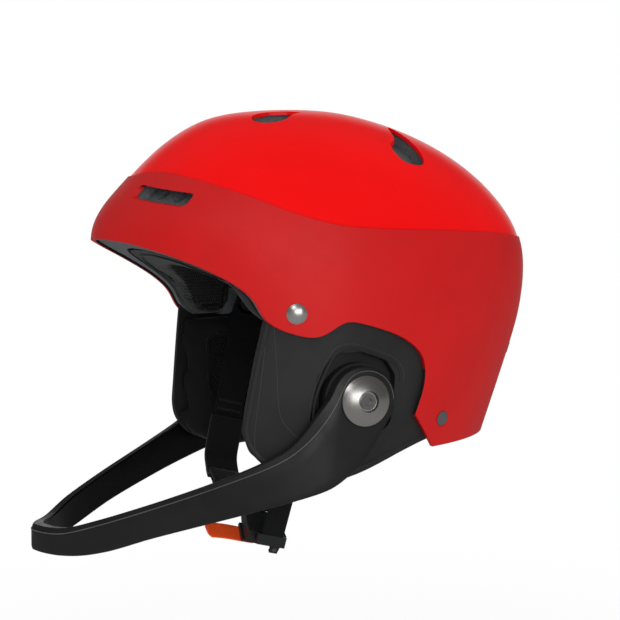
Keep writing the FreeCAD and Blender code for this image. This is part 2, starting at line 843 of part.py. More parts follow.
def make_strap_anchor():
    """Bolt from the ear guard through the liner, with a head that keeps the strap on."""
    inner = anchor_x - strap_thickness / 2 - anchor_pin_fit
    outer = anchor_x + strap_thickness / 2 + anchor_pin_fit
    liner_face = half_axes(anchor_z, cavity(0.0))[2] - anchor_liner_gap
    end = side_of_skin(anchor_y, anchor_z, guard_inner) - 0.1
    head = anchor_rod(anchor_head_radius, inner - anchor_head_height, inner)
    shoulder = anchor_rod(anchor_head_radius - 1, outer, liner_face)
    return head.fuse(shoulder).fuse(anchor_rod(anchor_pin_radius, inner - anchor_head_height / 2, end))


def eyelet():
    plate = anchor_rod(eyelet_radius, anchor_x - strap_thickness / 2, anchor_x + strap_thickness / 2)
    return plate


def eyelet_bore():
    return anchor_rod(anchor_pin_radius + anchor_pin_fit, 60, far)


def ring_rod(radius, half_length):
    start = V(ring_x, anchor_y - half_length, ring_z)
    return rod(radius, start, V(0, 1, 0), 2 * half_length)


middle_loop = strap_width / 5
loop_gap = 0.4


def middle_band(half_width):
    return block(-far, far, anchor_y - half_width, anchor_y + half_width, -far, far)


def make_strap_web_left():
    """Upper left webbing, from the anchor to the ring, ending in two loops."""
    path = [(anchor_x, anchor_z), (anchor_x, anchor_z - strap_straight), (ring_x, ring_z)]
    web = ribbon(path, strap_bend_radius, strap_thickness, strap_width)
    web = web.cut(ring_rod(3 * ring_radius + strap_thickness, strap_width).common(middle_band(middle_loop + loop_gap)))
    loops = ring_rod(ring_radius + ring_fit + strap_thickness, strap_width / 2)
    loops = loops.cut(middle_band(middle_loop + loop_gap))
    web = web.fuse(eyelet()).fuse(loops)
    return leaned(web.cut(eyelet_bore()).cut(ring_rod(ring_radius + ring_fit, strap_width)))


def make_strap_ring():
    stops = ring_rod(ring_radius + 1.2, strap_width / 2 + 2).cut(ring_rod(3 * ring_radius, strap_width / 2 + 0.3))
    return leaned(ring_rod(ring_radius, strap_width / 2 + 2).fuse(stops))


def latch_point(angle_deg, radius):
    angle = math.radians(angle_deg)
    return V(ring_x - radius * math.sin(angle), 0, ring_z - radius * math.cos(angle))


def latch_sector(inner, outer, from_deg, to_deg, width):
    """Piece of a ring about the strap ring, where the tongue slides."""
    middle = (from_deg + to_deg) / 2
    edges = [Part.makeLine(latch_point(from_deg, inner), latch_point(from_deg, outer)),
             Part.Arc(*[latch_point(a, outer) for a in (from_deg, middle, to_deg)]).toShape(),
             Part.makeLine(latch_point(to_deg, outer), latch_point(to_deg, inner)),
             Part.Arc(*[latch_point(a, inner) for a in (to_deg, middle, from_deg)]).toShape()]
    return prism(Part.Wire(edges), V(0, anchor_y - width / 2, 0), V(0, width, 0))


tongue_inner = latch_radius - tongue_thickness / 2
tongue_outer = latch_radius + tongue_thickness / 2
housing_inner = tongue_inner - tongue_clearance - buckle_wall
housing_outer = tongue_outer + tongue_clearance + buckle_wall
lug_deg = 5.0


def end_web_ribbon():
    """Lower left webbing, from the ring to the tongue, turning round the ring in one loop."""
    end = latch_point(tongue_outer_deg - lug_deg / 2, tongue_inner - 0.5)
    web = ribbon([(ring_x, ring_z), (end.x, end.z)], 1.0, strap_thickness, tongue_width)
    clear = ring_rod(ring_radius + 2 * strap_thickness + loop_gap, strap_width)
    web = web.cut(clear.cut(middle_band(middle_loop)))
    loop = ring_rod(ring_radius + ring_fit + strap_thickness, strap_width).common(middle_band(middle_loop))
    return web.fuse(loop).cut(ring_rod(ring_radius + ring_fit, strap_width))


def make_strap_web_end():
    return leaned(end_web_ribbon())


tooth_count = 8


def make_buckle_tongue():
    """Curved toothed tongue with a lug that holds the webbing."""
    plate = latch_sector(tongue_inner, tongue_outer, tongue_outer_deg, tongue_inner_deg, tongue_width)
    lug = latch_sector(tongue_inner - 4, tongue_outer, tongue_outer_deg - lug_deg, tongue_outer_deg + 0.5,
                       tongue_width + 4)
    tongue = plate.fuse(lug).cut(end_web_ribbon())
    step = (tongue_inner_deg - housing_outer_deg - 2) / tooth_count
    for i in range(tooth_count):
        at = housing_outer_deg + 1 + i * step
        notch = latch_sector(tongue_outer - 0.5, tongue_outer + 1, at, at + step / 2, tongue_width - 4)
        tongue = tongue.cut(notch)
    return leaned(tongue)


def buckle_block(near, beyond, along_from, along_to, y_from, y_to):
    """Box square to the buckle's middle: distance from the ring, along the strap, and in Y."""
    shape = block(along_from, along_to, anchor_y + y_from, anchor_y + y_to, -beyond, -near)
    return in_buckle_place(shape)


def in_buckle_place(shape):
    placed = shape.copy()
    placed.rotate(V(0, 0, 0), V(0, 1, 0), buckle_middle_deg)
    placed.translate(V(ring_x, 0, ring_z))
    return placed


buckle_middle_deg = (housing_outer_deg + housing_inner_deg) / 2
lever_near = housing_outer + lever_gap
pin_distance = lever_near + 2.4
lever_half = 7.0
lever_front = -buckle_width / 2 - 1.0
lever_rear = buckle_width / 2 - 3.5
barrel_radius = lever_pin_radius + 1.0


def lever_rod(radius, half_length):
    start = V(-half_length, anchor_y + lever_rear, -pin_distance)
    return in_buckle_place(rod(radius, start, V(1, 0, 0), 2 * half_length))


web_slot_deg = 5.0


def make_buckle_housing():
    """Body of the buckle: the tongue's curved slot, the lever's ears and the webbing's bar."""
    body = latch_sector(housing_inner, housing_outer, housing_outer_deg, housing_inner_deg, buckle_width)
    slot = latch_sector(tongue_inner - tongue_clearance, tongue_outer + tongue_clearance,
                        housing_outer_deg - 2, tongue_inner_deg + 1.5, tongue_width + 2 * tongue_clearance)
    ears = []
    for side in (-1, 1):
        inner = lever_half + lever_gap
        spans = sorted((side * inner, side * (inner + 2.2)))
        ears.append(buckle_block(housing_outer - 1.6, pin_distance + 2.6, spans[0], spans[1],
                                 lever_rear - 2.6, lever_rear + 2.6))
    body = body.cut(slot)
    for ear in ears:
        body = body.fuse(ear)
    body = body.cut(lever_rod(lever_pin_radius + lever_pin_fit, 20))
    return leaned(body.cut(right_web_ribbon()))


def make_lever_pin():
    return leaned(lever_rod(lever_pin_radius, lever_half + lever_gap + 2.2))


def make_buckle_lever():
    """Plate under the buckle that lifts the pawl off the tongue's teeth."""
    plate = buckle_block(lever_near, lever_near + lever_thickness, -lever_half, lever_half,
                         lever_front, lever_rear)
    barrel = lever_rod(barrel_radius, lever_half)
    lever = plate.fuse(barrel).cut(lever_rod(lever_pin_radius + lever_pin_fit, 20))
    return leaned(lever)


def make_release_tab():
    """Soft pull tab under the front of the lever."""
    near = lever_near + lever_thickness
    tab = buckle_block(near, near + tab_thickness, -tab_width / 2, tab_width / 2,
                       lever_front - tab_length + 8, lever_front + 8)
    corners = [edge for edge in tab.Edges if is_front_corner(edge)]
    return leaned(tab.makeFillet(tab_width / 3, corners))


def is_front_corner(edge):
    flat = abs(edge.BoundBox.YLength) < 0.01 and edge.Length < tab_thickness + 0.01
    return flat and edge.CenterOfMass.y < anchor_y + lever_front


def right_web_points():
    start = latch_point(housing_inner_deg - web_slot_deg / 2, housing_outer - 1.5)
    return [(start.x, start.z), (start.x - 6, start.z + 2.5), (-22, start.z + 3), (-50, start.z + 15),
            (-ring_x, ring_z), (-anchor_x, anchor_z - strap_straight), (-anchor_x, anchor_z)]


def right_web_ribbon():
    return ribbon(right_web_points(), strap_bend_radius, strap_thickness, strap_width)


def make_strap_web_right():
    web = right_web_ribbon().fuse(mirrored(eyelet()))
    return leaned(web.cut(mirrored(eyelet_bore())))


chin_pad_thickness = 4.0


def make_chin_pad():
    """Soft sleeve on the skin side of the webbing under the chin."""
    points = right_web_points()[1:4]
    lift = (strap_thickness + chin_pad_thickness) / 2 + layer_gap
    raised = [(points[0][0] - 6, points[0][1] + lift), (points[1][0] + 1, points[1][1] + lift),
              (points[2][0] + 2.2, points[2][1] + lift - 0.6)]
    return leaned(ribbon(raised, strap_bend_radius, chin_pad_thickness, strap_width + 4))


# ======== Size adjuster at the nape ========

wheel_front_y = dial_y - dial_width / 2
wheel_rear_y = dial_y + dial_width / 2
cheek_front_y = wheel_front_y - cheek_gap - bracket_wall
cheek_rear_y = wheel_rear_y + cheek_gap
cradle_rear_y = cradle_middle_y + cradle_depth


def dial_rod(radius, y_from, y_to):
    return rod(radius, V(0, y_from, dial_z), V(0, 1, 0), y_to - y_from)


def make_dial_wheel():
    wheel = dial_rod(dial_radius, wheel_front_y, wheel_rear_y)
    for i in range(dial_lobes):
        angle = 2 * math.pi * i / dial_lobes
        reach = dial_radius + 1.6 - lobe_depth
        place = V(reach * math.cos(angle), wheel_front_y - 1, dial_z + reach * math.sin(angle))
        wheel = wheel.cut(rod(1.6, place, V(0, 1, 0), dial_width + 2))
    return wheel.fuse(dial_rod(axle_radius, axle_front_y, cheek_rear_y + bracket_wall))


def make_dial_bracket():
    """Hanger under the liner that carries the wheel's axle, reaching the shell behind."""
    top = block(-bracket_half_width, bracket_half_width, cheek_front_y, far, bracket_top_z - bracket_wall,
                bracket_top_z)
    bottom_z = dial_z - 2 * axle_radius
    cheeks = [block(-2.5 * axle_radius, 2.5 * axle_radius, y, y + bracket_wall, bottom_z,
                    bracket_top_z - bracket_wall / 2) for y in (cheek_front_y, cheek_rear_y)]
    bracket = top.fuse(cheeks[0]).fuse(cheeks[1]).common(dome(even(band_wall + 0.05)))
    return bracket.cut(dial_rod(axle_radius + axle_fit, 0, far))


def oval_band(half_width, depth, wall, front_y, z_from, z_to):
    """Rear part of an oval ring in plan, open towards the front."""
    def oval(shrink):
        a = half_width - shrink
        b = depth - shrink
        major = max(a, b)
        curve = Part.Ellipse(V(0, cradle_middle_y, 0), major, min(a, b))
        if b > a:
            curve = Part.Ellipse(V(0, cradle_middle_y + b, 0), V(a, cradle_middle_y, 0), V(0, cradle_middle_y, 0))
        return prism(Part.Wire(curve.toShape()), V(0, 0, z_from), V(0, 0, z_to - z_from))
    ring = oval(0).cut(oval(wall))
    return ring.common(block(-far, far, front_y, far, -far, far))


def guide_rod(radius, y_from, y_to):
    return rod(radius, V(guide_x, y_from, guide_z), V(0, 1, 0), y_to - y_from)


def guide_seat_y():
    """Where the guide meets the liner's inner face."""
    front, rear, side = half_axes(guide_z, cavity(0.0))
    return middle_y + rear * math.sqrt(1 - (guide_x / side) ** 2) - 1.0


def sleeve_hole():
    seat = guide_seat_y()
    return guide_rod(guide_radius + guide_fit + sleeve_wall + 0.1, seat - 6, seat + sleeve_length + 0.3)


def make_cradle_sleeve():
    seat = guide_seat_y()
    tube = guide_rod(guide_radius + guide_fit + sleeve_wall, seat, seat + sleeve_length)
    return tube.cut(guide_rod(guide_radius + guide_fit, seat - 1, seat + sleeve_length - 1))


def make_nape_cradle():
    """Curved yoke behind the neck, its two guide pins and the nut on the wheel's axle."""
    yoke = oval_band(cradle_half_width, cradle_depth, cradle_wall, cradle_front_y, cradle_bottom_z, cradle_top_z)
    tab = oval_band(cradle_half_width, cradle_depth, cradle_wall, cradle_front_y, dial_z - 8, cradle_bottom_z + 4)
    tab = tab.common(block(-11, 11, cradle_front_y, far, -far, far))
    yoke = yoke.fuse(tab)
    root_y = cradle_middle_y + cradle_depth * math.sqrt(1 - (guide_x / cradle_half_width) ** 2) - 1.5
    guide = guide_rod(guide_radius, root_y, guide_seat_y() + sleeve_length - 2)
    nut = dial_rod(2 * axle_radius, cradle_rear_y - 1.6, cheek_front_y - cheek_gap)
    yoke = yoke.fuse(guide).fuse(mirrored(guide)).fuse(nut)
    return yoke.cut(dial_rod(axle_radius + cheek_gap, axle_front_y - cheek_gap, far))


def make_nape_pad():
    shrink = cradle_wall + layer_gap
    return oval_band(cradle_half_width - shrink, cradle_depth - shrink, nape_pad_thickness,
                     cradle_front_y + 4, cradle_bottom_z + 4, cradle_top_z - 4)


# ======== Goggle clip ========

clip_skin_y = rear_of_skin(clip_z, 0.0)
clip_tilt = math.atan2(clip_skin_y - rear_of_skin(clip_z - clip_length, 0.0), clip_length)
pocket_floor = -(clip_barrel_radius + 0.4)
clip_half = clip_width / 2


def in_clip_place(shape):
    """Local axes: X along the pin, Z up the shell, Y straight out of it."""
    placed = shape.copy()
    placed.rotate(V(0, 0, 0), V(1, 0, 0), -math.degrees(clip_tilt))
    placed.translate(V(0, clip_skin_y + clip_lift, clip_z))
    return placed


def clip_pocket():
    half = clip_half + lug_gap
    return block(-half, half, pocket_floor, 10, -clip_barrel_radius - 0.6, clip_barrel_radius + 0.6)


def clip_rod(radius, half_length):
    return rod(radius, V(-half_length, 0, 0), V(1, 0, 0), 2 * half_length)


lug_outer = clip_half + lug_gap + lug_width


def make_clip_mount():
    """Bridge on the shell above the pin, with a lug at each end."""
    bridge = block(-lug_outer, lug_outer, -6, 1.2, clip_barrel_radius + 1.2, clip_barrel_radius + 6)
    mount = bridge
    for side in (-1, 1):
        spans = sorted((side * (clip_half + lug_gap), side * lug_outer))
        mount = mount.fuse(block(spans[0], spans[1], -6, clip_barrel_radius, -clip_barrel_radius,
                                 clip_barrel_radius + 2))
    mount = mount.cut(clip_rod(clip_pin_radius, far))
    return in_clip_place(mount).cut(dome(even(0.0)))


def make_clip_pin():
    return in_clip_place(clip_rod(clip_pin_radius, lug_outer))


def make_goggle_clip():
    """Flap that closes over the goggle strap."""
    flap = block(-clip_half, clip_half, -0.4, clip_wall - 0.4, -clip_length, 0)
    foot = block(-clip_half, clip_half, -clip_lift + 0.4, clip_wall - 0.4, -clip_length, 2.0 - clip_length)
    clip = flap.fuse(foot).fuse(clip_rod(clip_barrel_radius, clip_half))
    return in_clip_place(clip.cut(clip_rod(clip_pin_radius + clip_pin_fit, far)))


# ======== Nodes ========

def make_rivets(y, z, radius, rise):
    return both_sides(rivet(y, z, radius, rise))


nodes = {
    "crown_shell": make_crown_shell(),
    "lower_shell": make_lower_shell(),
    "impact_liner": make_liner(),
    "slip_layer": make_slip_layer(),
    "slip_anchors": make_slip_anchors(),
    "brow_pad": make_brow_pad(),
    "crown_pad": make_crown_pad(),
    "rear_pad": make_rear_pad(),
    "front_rivets": make_rivets(front_rivet_y, front_rivet_z, front_rivet_radius, front_rivet_rise),
    "rear_rivets": make_rivets(rear_rivet_y, rear_rivet_z, rear_rivet_radius, rear_rivet_rise),
    "chin_guard": make_chin_guard(),
    "pivot_screws": both_sides(make_pivot_screw()),
    "pivot_nuts": both_sides(make_pivot_nut()),
    "strap_web_left": make_strap_web_left(),
    "strap_web_right": make_strap_web_right(),
    "strap_web_end": make_strap_web_end(),
    "strap_ring": make_strap_ring(),
    "chin_pad": make_chin_pad(),
    "buckle_tongue": make_buckle_tongue(),
    "buckle_housing": make_buckle_housing(),
    "buckle_lever": make_buckle_lever(),
    "lever_pin": make_lever_pin(),
    "release_tab": make_release_tab(),
    "dial_wheel": make_dial_wheel(),
    "dial_bracket": make_dial_bracket(),
    "nape_cradle": make_nape_cradle(),
    "nape_pad": make_nape_pad(),
    "goggle_clip": make_goggle_clip(),
    "clip_mount": make_clip_mount(),
    "clip_pin": make_clip_pin(),
}

paired = {
    "side_pad": make_side_pad(),
    "ear_guard": make_ear_guard(),
    "ear_pad": make_ear_pad().cut(anchor_hole()),
    "pivot_base": make_pivot_base(),
    "pivot_cap": make_pivot_cap(),
    "strap_anchor": make_strap_anchor(),
    "cradle_sleeve": make_cradle_sleeve(),
}

for name, shape in paired.items():
    nodes[name + "_left"] = shape
    nodes[name + "_right"] = mirrored(shape)

os.makedirs("parts", exist_ok=True)
for name, shape in nodes.items():
    shape.exportStep("parts/" + name + ".step")
    box = shape.BoundBox
    print(name, shape.isValid(), len(shape.Solids), round(shape.Volume),
          [round(v, 1) for v in (box.XMin, box.XMax, box.YMin, box.YMax, box.ZMin, box.ZMax)])
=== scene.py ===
import math

import bpy
import bmesh
import numpy as np
from mathutils import Matrix, Vector
from mathutils.bvhtree import BVHTree


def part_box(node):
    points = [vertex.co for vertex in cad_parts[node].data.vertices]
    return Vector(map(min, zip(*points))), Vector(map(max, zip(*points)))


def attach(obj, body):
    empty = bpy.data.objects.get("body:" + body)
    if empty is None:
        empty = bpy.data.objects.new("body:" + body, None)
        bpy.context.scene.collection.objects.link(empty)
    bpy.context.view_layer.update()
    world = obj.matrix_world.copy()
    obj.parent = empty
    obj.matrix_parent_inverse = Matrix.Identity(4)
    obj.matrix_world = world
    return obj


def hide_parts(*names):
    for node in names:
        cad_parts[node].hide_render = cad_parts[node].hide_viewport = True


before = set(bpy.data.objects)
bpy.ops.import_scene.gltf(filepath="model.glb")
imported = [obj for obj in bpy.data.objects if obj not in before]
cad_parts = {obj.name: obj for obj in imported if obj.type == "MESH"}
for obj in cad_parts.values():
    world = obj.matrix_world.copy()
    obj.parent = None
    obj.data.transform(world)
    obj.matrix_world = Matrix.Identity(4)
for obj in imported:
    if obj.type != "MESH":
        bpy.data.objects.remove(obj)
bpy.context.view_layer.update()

# Ski racing helmet: gloss crown, matte band, foam liner, padded ear guards and a swivelling chin guard.
# Metres. +X is the wearer's left, -Y is forwards, +Z is up. Lengths written as whole millimetres go through MM.
MM = 0.001
scene = bpy.context.scene

# ---- camera ----
camera_azimuth = 68.5
camera_elevation = 2.8
camera_distance = 0.870
camera_lens = 78.27
sensor_width = 36.0

# ---- shell surface, as in the solids ----
equator_z = 30.0
middle_y = -10.0
shell_half_width = 107.0
shell_front = 104.3
shell_rear = 156.9
shell_rise = 98.0
guard_face_inset = 3.5
axis_y = middle_y * MM  # the upright axis of the head, in metres
sides = (("left", 1), ("right", -1))

# ---- chin guard ----
hub_y = -8.5
hub_z = -46.9
hub_radius = 19.5
hub_bore = 0.01006
hub_face_x = 107.0
guard_thickness = 8.0
guard_straight_y = -33.0

# ---- chin strap ----
strap_lean = math.radians(-14.0)
anchor_y = -15.0
anchor_z = 2.0
anchor_x = 78.97
ring_x = 63.273
ring_z = -105.0
strap_width = 20.0
strap_thickness = 1.8


# ======== Materials ========

def new_material(name):
    material = bpy.data.materials.new(name)
    material.use_nodes = True
    return material, material.node_tree, material.node_tree.nodes["Principled BSDF"]


def set_inputs(made, **inputs):
    """Sets constants on a node's own sockets. Underscores in the names stand for spaces."""
    for key, value in inputs.items():
        made.inputs[key.replace("_", " ")].default_value = value


def link_inputs(tree, made, **inputs):
    for key, value in inputs.items():
        tree.links.new(value, made.inputs[key.replace("_", " ")])


def node(tree, kind, **inputs):
    made = tree.nodes.new(kind)
    set_inputs(made, **inputs)
    return made


def coordinates(tree, kind="Object"):
    return tree.nodes.new("ShaderNodeTexCoord").outputs[kind]


def calculated(tree, kind, operation, values):
    """Math node of a kind. Each value is a number, a tuple or a socket."""
    made = tree.nodes.new(kind)
    made.operation = operation
    for socket, value in zip(made.inputs, values):
        if isinstance(value, (int, float, tuple)):
            socket.default_value = value
        else:
            tree.links.new(value, socket)
    return made


def math_node(tree, operation, *values):
    return calculated(tree, "ShaderNodeMath", operation, values).outputs[0]


def vector_node(tree, operation, *values):
    return calculated(tree, "ShaderNodeVectorMath", operation, values).outputs[0]


def vector_value(tree, operation, *values):
    """Number that a vector gives, such as its length."""
    return calculated(tree, "ShaderNodeVectorMath", operation, values).outputs["Value"]


def remap(tree, value, low, high, to_low, to_high, smooth=True):
    made = node(tree, "ShaderNodeMapRange", From_Min=low, From_Max=high, To_Min=to_low, To_Max=to_high)
    if smooth:
        made.interpolation_type = "SMOOTHSTEP"
    tree.links.new(value, made.inputs["Value"])
    return made.outputs["Result"]


def noise(tree, place, scale, detail=3.0):
    made = node(tree, "ShaderNodeTexNoise", Scale=scale, Detail=detail)
    link_inputs(tree, made, Vector=place)
    return made.outputs["Fac"]


def two_tone(tree, factor, dark, light):
    mix = tree.nodes.new("ShaderNodeMix")
    mix.data_type = "RGBA"
    mix.inputs["A"].default_value = (*dark, 1)
    mix.inputs["B"].default_value = (*light, 1)
    tree.links.new(factor, mix.inputs["Factor"])
    return mix.outputs["Result"]


def bump(tree, height, strength, distance, below=None):
    made = node(tree, "ShaderNodeBump", Strength=strength, Distance=distance)
    tree.links.new(height, made.inputs["Height"])
    if below is not None:
        tree.links.new(below, made.inputs["Normal"])
    return made.outputs["Normal"]


def plastic(name, colour, roughness, grain=0.00035, depth=0.00002, tone=0.12, specular=0.5, coat=0.0,
            coat_roughness=0.05, metallic=0.0, wear=0.08, edge=0.0):
    """Moulded plastic or metal with fine surface grain, slight mottling and uneven gloss."""
    material, tree, shader = new_material(name)
    place = coordinates(tree)
    mottling = remap(tree, noise(tree, place, 26.0), 0.35, 0.65, 0.0, 1.0)
    dark = tuple(c * (1 - tone) for c in colour)
    light = tuple(min(1.0, c * (1 + tone)) for c in colour)
    smudges = noise(tree, place, 70.0, 4.0)
    low, high = max(0.02, roughness - wear), min(1.0, roughness + wear)
    rounded = None
    if edge:
        corner = node(tree, "ShaderNodeBevel", Radius=edge)
        corner.samples = 4
        rounded = corner.outputs["Normal"]
    fine = noise(tree, place, 1.0 / grain, 2.0)
    link_inputs(tree, shader, Base_Color=two_tone(tree, mottling, dark, light),
                Roughness=remap(tree, smudges, 0.3, 0.7, low, high), Normal=bump(tree, fine, 0.5, depth, rounded))
    set_inputs(shader, Specular_IOR_Level=specular, Metallic=metallic, Coat_Weight=coat,
               Coat_Roughness=coat_roughness)
    return material


def foam(name, colour):
    """Expanded foam: fused beads about three millimetres across, with dark lines between them."""
    material, tree, shader = new_material(name)
    place = coordinates(tree)
    beads = node(tree, "ShaderNodeTexVoronoi", Scale=330.0)
    beads.feature = "DISTANCE_TO_EDGE"
    link_inputs(tree, beads, Vector=place)
    seams = remap(tree, beads.outputs["Distance"], 0.0, 0.10, 0.0, 1.0)
    patches = noise(tree, place, 40.0)
    shade = math_node(tree, "MULTIPLY", seams, remap(tree, patches, 0.3, 0.7, 0.75, 1.0))
    dark = tuple(c * 0.72 for c in colour)
    link_inputs(tree, shader, Base_Color=two_tone(tree, shade, dark, colour),
                Roughness=remap(tree, patches, 0.3, 0.7, 0.62, 0.78), Normal=bump(tree, seams, 0.35, 0.0002))
    set_inputs(shader, Specular_IOR_Level=0.3)
    return material


def woven(name, colour, across=0.0011, along=0.0022, depth=0.00018, sheen=0.25, tone=0.35):
    """Plain woven webbing: staggered floats of yarn over a darker ground. UV is in metres."""
    material, tree, shader = new_material(name)
    weave = node(tree, "ShaderNodeTexBrick", Scale=1.0, Mortar_Size=0.12 * across, Mortar_Smooth=1.0,
                 Brick_Width=along, Row_Height=across)
    weave.offset = 0.5
    link_inputs(tree, weave, Vector=coordinates(tree, "UV"))
    yarn = math_node(tree, "SUBTRACT", 1.0, weave.outputs["Fac"])
    fuzz = noise(tree, coordinates(tree), 900.0, 2.0)
    height = math_node(tree, "MULTIPLY_ADD", fuzz, 0.35, yarn)
    dark = tuple(c * (1 - tone) for c in colour)
    light = tuple(c * (1 + tone) for c in colour)
    link_inputs(tree, shader, Base_Color=two_tone(tree, remap(tree, height, 0.2, 1.2, 0.0, 1.0), dark, light),
                Normal=bump(tree, height, 0.8, depth), Roughness=remap(tree, fuzz, 0.3, 0.7, 0.72, 0.9))
    set_inputs(shader, Specular_IOR_Level=0.2, Sheen_Weight=sheen, Sheen_Roughness=0.5)
    return material


def hexagon_distance(tree, place, cell):
    """Distance from the nearest centre of a honeycomb whose cells are one cell wide."""
    period = (cell, cell * math.sqrt(3), 1.0)
    half = (cell / 2, cell * math.sqrt(3) / 2, 0.0)
    far = 10.0  # keeps the remainders positive
    lengths = []
    for shift in ((far, far, 0.0), (far + half[0], far + half[1], 0.0)):
        cornered = vector_node(tree, "MODULO", vector_node(tree, "ADD", place, shift), period)
        lengths.append(vector_value(tree, "LENGTH", vector_node(tree, "SUBTRACT", cornered, half)))
    return math_node(tree, "MINIMUM", *lengths)


def mesh_fabric(name, colour, cell=0.0024, depth=0.0006):
    """Open spacer mesh: a honeycomb of round holes over a black ground. UV is in metres."""
    material, tree, shader = new_material(name)
    reach = hexagon_distance(tree, coordinates(tree, "UV"), cell)
    threads = remap(tree, reach, 0.26 * cell, 0.46 * cell, 0.0, 1.0)
    fuzz = noise(tree, coordinates(tree), 1100.0, 2.0)
    shade = math_node(tree, "MULTIPLY", threads, remap(tree, fuzz, 0.2, 0.8, 0.6, 1.0))
    ground = tuple(c * 0.18 for c in colour)
    link_inputs(tree, shader, Base_Color=two_tone(tree, shade, ground, colour),
                Normal=bump(tree, threads, 0.9, depth), Roughness=remap(tree, fuzz, 0.3, 0.7, 0.7, 0.9))
    set_inputs(shader, Specular_IOR_Level=0.25, Sheen_Weight=0.15)
    return material


def brushed_cloth(name, colour, sheen=0.35, nap=0.00018):
    """Short brushed pile: soft, uneven and dark, with a faint sheen."""
    material, tree, shader = new_material(name)
    place = coordinates(tree)
    fibres = noise(tree, place, 1400.0, 3.0)
    folds = noise(tree, place, 60.0, 3.0)
    shade = math_node(tree, "MULTIPLY", remap(tree, fibres, 0.25, 0.75, 0.6, 1.0),
                      remap(tree, folds, 0.3, 0.7, 0.8, 1.0))
    dark = tuple(c * 0.55 for c in colour)
    link_inputs(tree, shader, Base_Color=two_tone(tree, shade, dark, colour), Normal=bump(tree, fibres, 0.7, nap),
                Roughness=remap(tree, folds, 0.3, 0.7, 0.8, 0.95))
    set_inputs(shader, Specular_IOR_Level=0.15, Sheen_Weight=sheen, Sheen_Roughness=0.45)
    return material


def turned_metal(name, colour, middle, roughness=0.24):
    """Metal turned on a lathe about the X axis through middle: fine rings in gloss and height."""
    material, tree, shader = new_material(name)
    offset = vector_node(tree, "SUBTRACT", coordinates(tree), (0.0, middle[0], middle[1]))
    radius = vector_value(tree, "LENGTH", vector_node(tree, "MULTIPLY", offset, (0.0, 1.0, 1.0)))
    spread = tree.nodes.new("ShaderNodeCombineXYZ")
    link_inputs(tree, spread, X=radius)
    rings = noise(tree, spread.outputs[0], 3500.0, 3.0)
    link_inputs(tree, shader, Base_Color=two_tone(tree, rings, tuple(c * 0.85 for c in colour), colour),
                Roughness=remap(tree, rings, 0.3, 0.7, roughness - 0.06, roughness + 0.1),
                Normal=bump(tree, rings, 0.25, 0.00003))
    set_inputs(shader, Metallic=1.0)
    return material


def bare_inside(material, colour):
    """Leaves the faces that look towards the head unpainted."""
    tree = material.node_tree
    painted = tree.nodes["Principled BSDF"].inputs["Base Color"]
    outwards = vector_value(tree, "DOT_PRODUCT", coordinates(tree), coordinates(tree, "Normal"))
    mix = tree.nodes.new("ShaderNodeMix")
    mix.data_type = "RGBA"
    tree.links.new(math_node(tree, "LESS_THAN", outwards, -0.03), mix.inputs["Factor"])
    tree.links.new(painted.links[0].from_socket, mix.inputs["A"])
    mix.inputs["B"].default_value = (*colour, 1)
    tree.links.new(mix.outputs["Result"], painted)


crown_paint = plastic("crown_paint", (0.90, 0.0048, 0.0055), 0.34, grain=0.0022, depth=0.00001, tone=0.02,
                      specular=0.03, coat=0.22, coat_roughness=0.03, wear=0.02, edge=0.0005)
band_paint = plastic("band_paint", (0.60, 0.0036, 0.0040), 0.48, grain=0.0005, depth=0.00001, tone=0.03,
                     specular=0.25, wear=0.03, edge=0.0006)
bare_inside(band_paint, (0.02, 0.02, 0.021))
liner_foam = foam("liner_foam", (0.135, 0.145, 0.155))
slip_film = plastic("slip_film", (0.03, 0.03, 0.032), 0.4)
elastic = woven("elastic", (0.2, 0.2, 0.2))
pad_mesh = mesh_fabric("pad_mesh", (0.017, 0.017, 0.018))
# Darker copy of the pad mesh for the ear pads' recesses: the extra darkness is painted shade.
window_mesh_painted_shade = mesh_fabric("window_mesh_painted_shade", (0.008, 0.008, 0.0085))
pad_cloth = brushed_cloth("pad_cloth", (0.0095, 0.0095, 0.0100), sheen=0.12)
ear_cloth = brushed_cloth("ear_cloth", (0.011, 0.011, 0.0115), sheen=0.15)
guard_plastic = plastic("guard_plastic", (0.0115, 0.0115, 0.0117), 0.42, grain=0.0006, depth=0.00001,
                        specular=0.35, edge=0.0004)
# Darker, smoother copy of guard_plastic for the bow's inner faces: the extra darkness is painted shade.
guard_inside_painted_shade = plastic("guard_inside_painted_shade", (0.0025, 0.0026, 0.0030), 0.30, grain=0.0006, depth=0.00001,
                       specular=0.18)
# Lighter plastic for the bead along the chin guard's crease: a painted highlight line.
crease_painted_highlight = plastic("crease_painted_highlight", (0.085, 0.085, 0.087), 0.34, grain=0.0006, depth=0.00001, specular=0.6)
# Lighter plastic for the raised ridge, contour and rim lines on the ear guards: the raised lines are shape, their
# lighter colour is a painted highlight.
ridge_painted_highlight = plastic("ridge_painted_highlight", (0.034, 0.034, 0.035), 0.45, grain=0.0006, depth=0.00001, specular=0.4)
ear_plastic = plastic("ear_plastic", (0.021, 0.021, 0.0215), 0.55, grain=0.0006, depth=0.00002, specular=0.3,
                      edge=0.0008)
webbing_cloth = woven("webbing_cloth", (0.0050, 0.0052, 0.0052), sheen=0.03)
tab_cloth = woven("tab_cloth", (0.90, 0.090, 0.012), across=0.0008, along=0.0016, tone=0.12, sheen=0.0)
buckle_plastic = plastic("buckle_plastic", (0.017, 0.018, 0.019), 0.38, specular=0.3, edge=0.0004)
thread = woven("thread", (0.045, 0.045, 0.047), across=0.0003, along=0.0008)
rivet_metal = turned_metal("rivet_metal", (0.86, 0.85, 0.82), (-0.0473, 0.0031), 0.3)
rivet_cap = plastic("rivet_cap", (0.105, 0.1, 0.095), 0.5, specular=0.3, edge=0.0004)
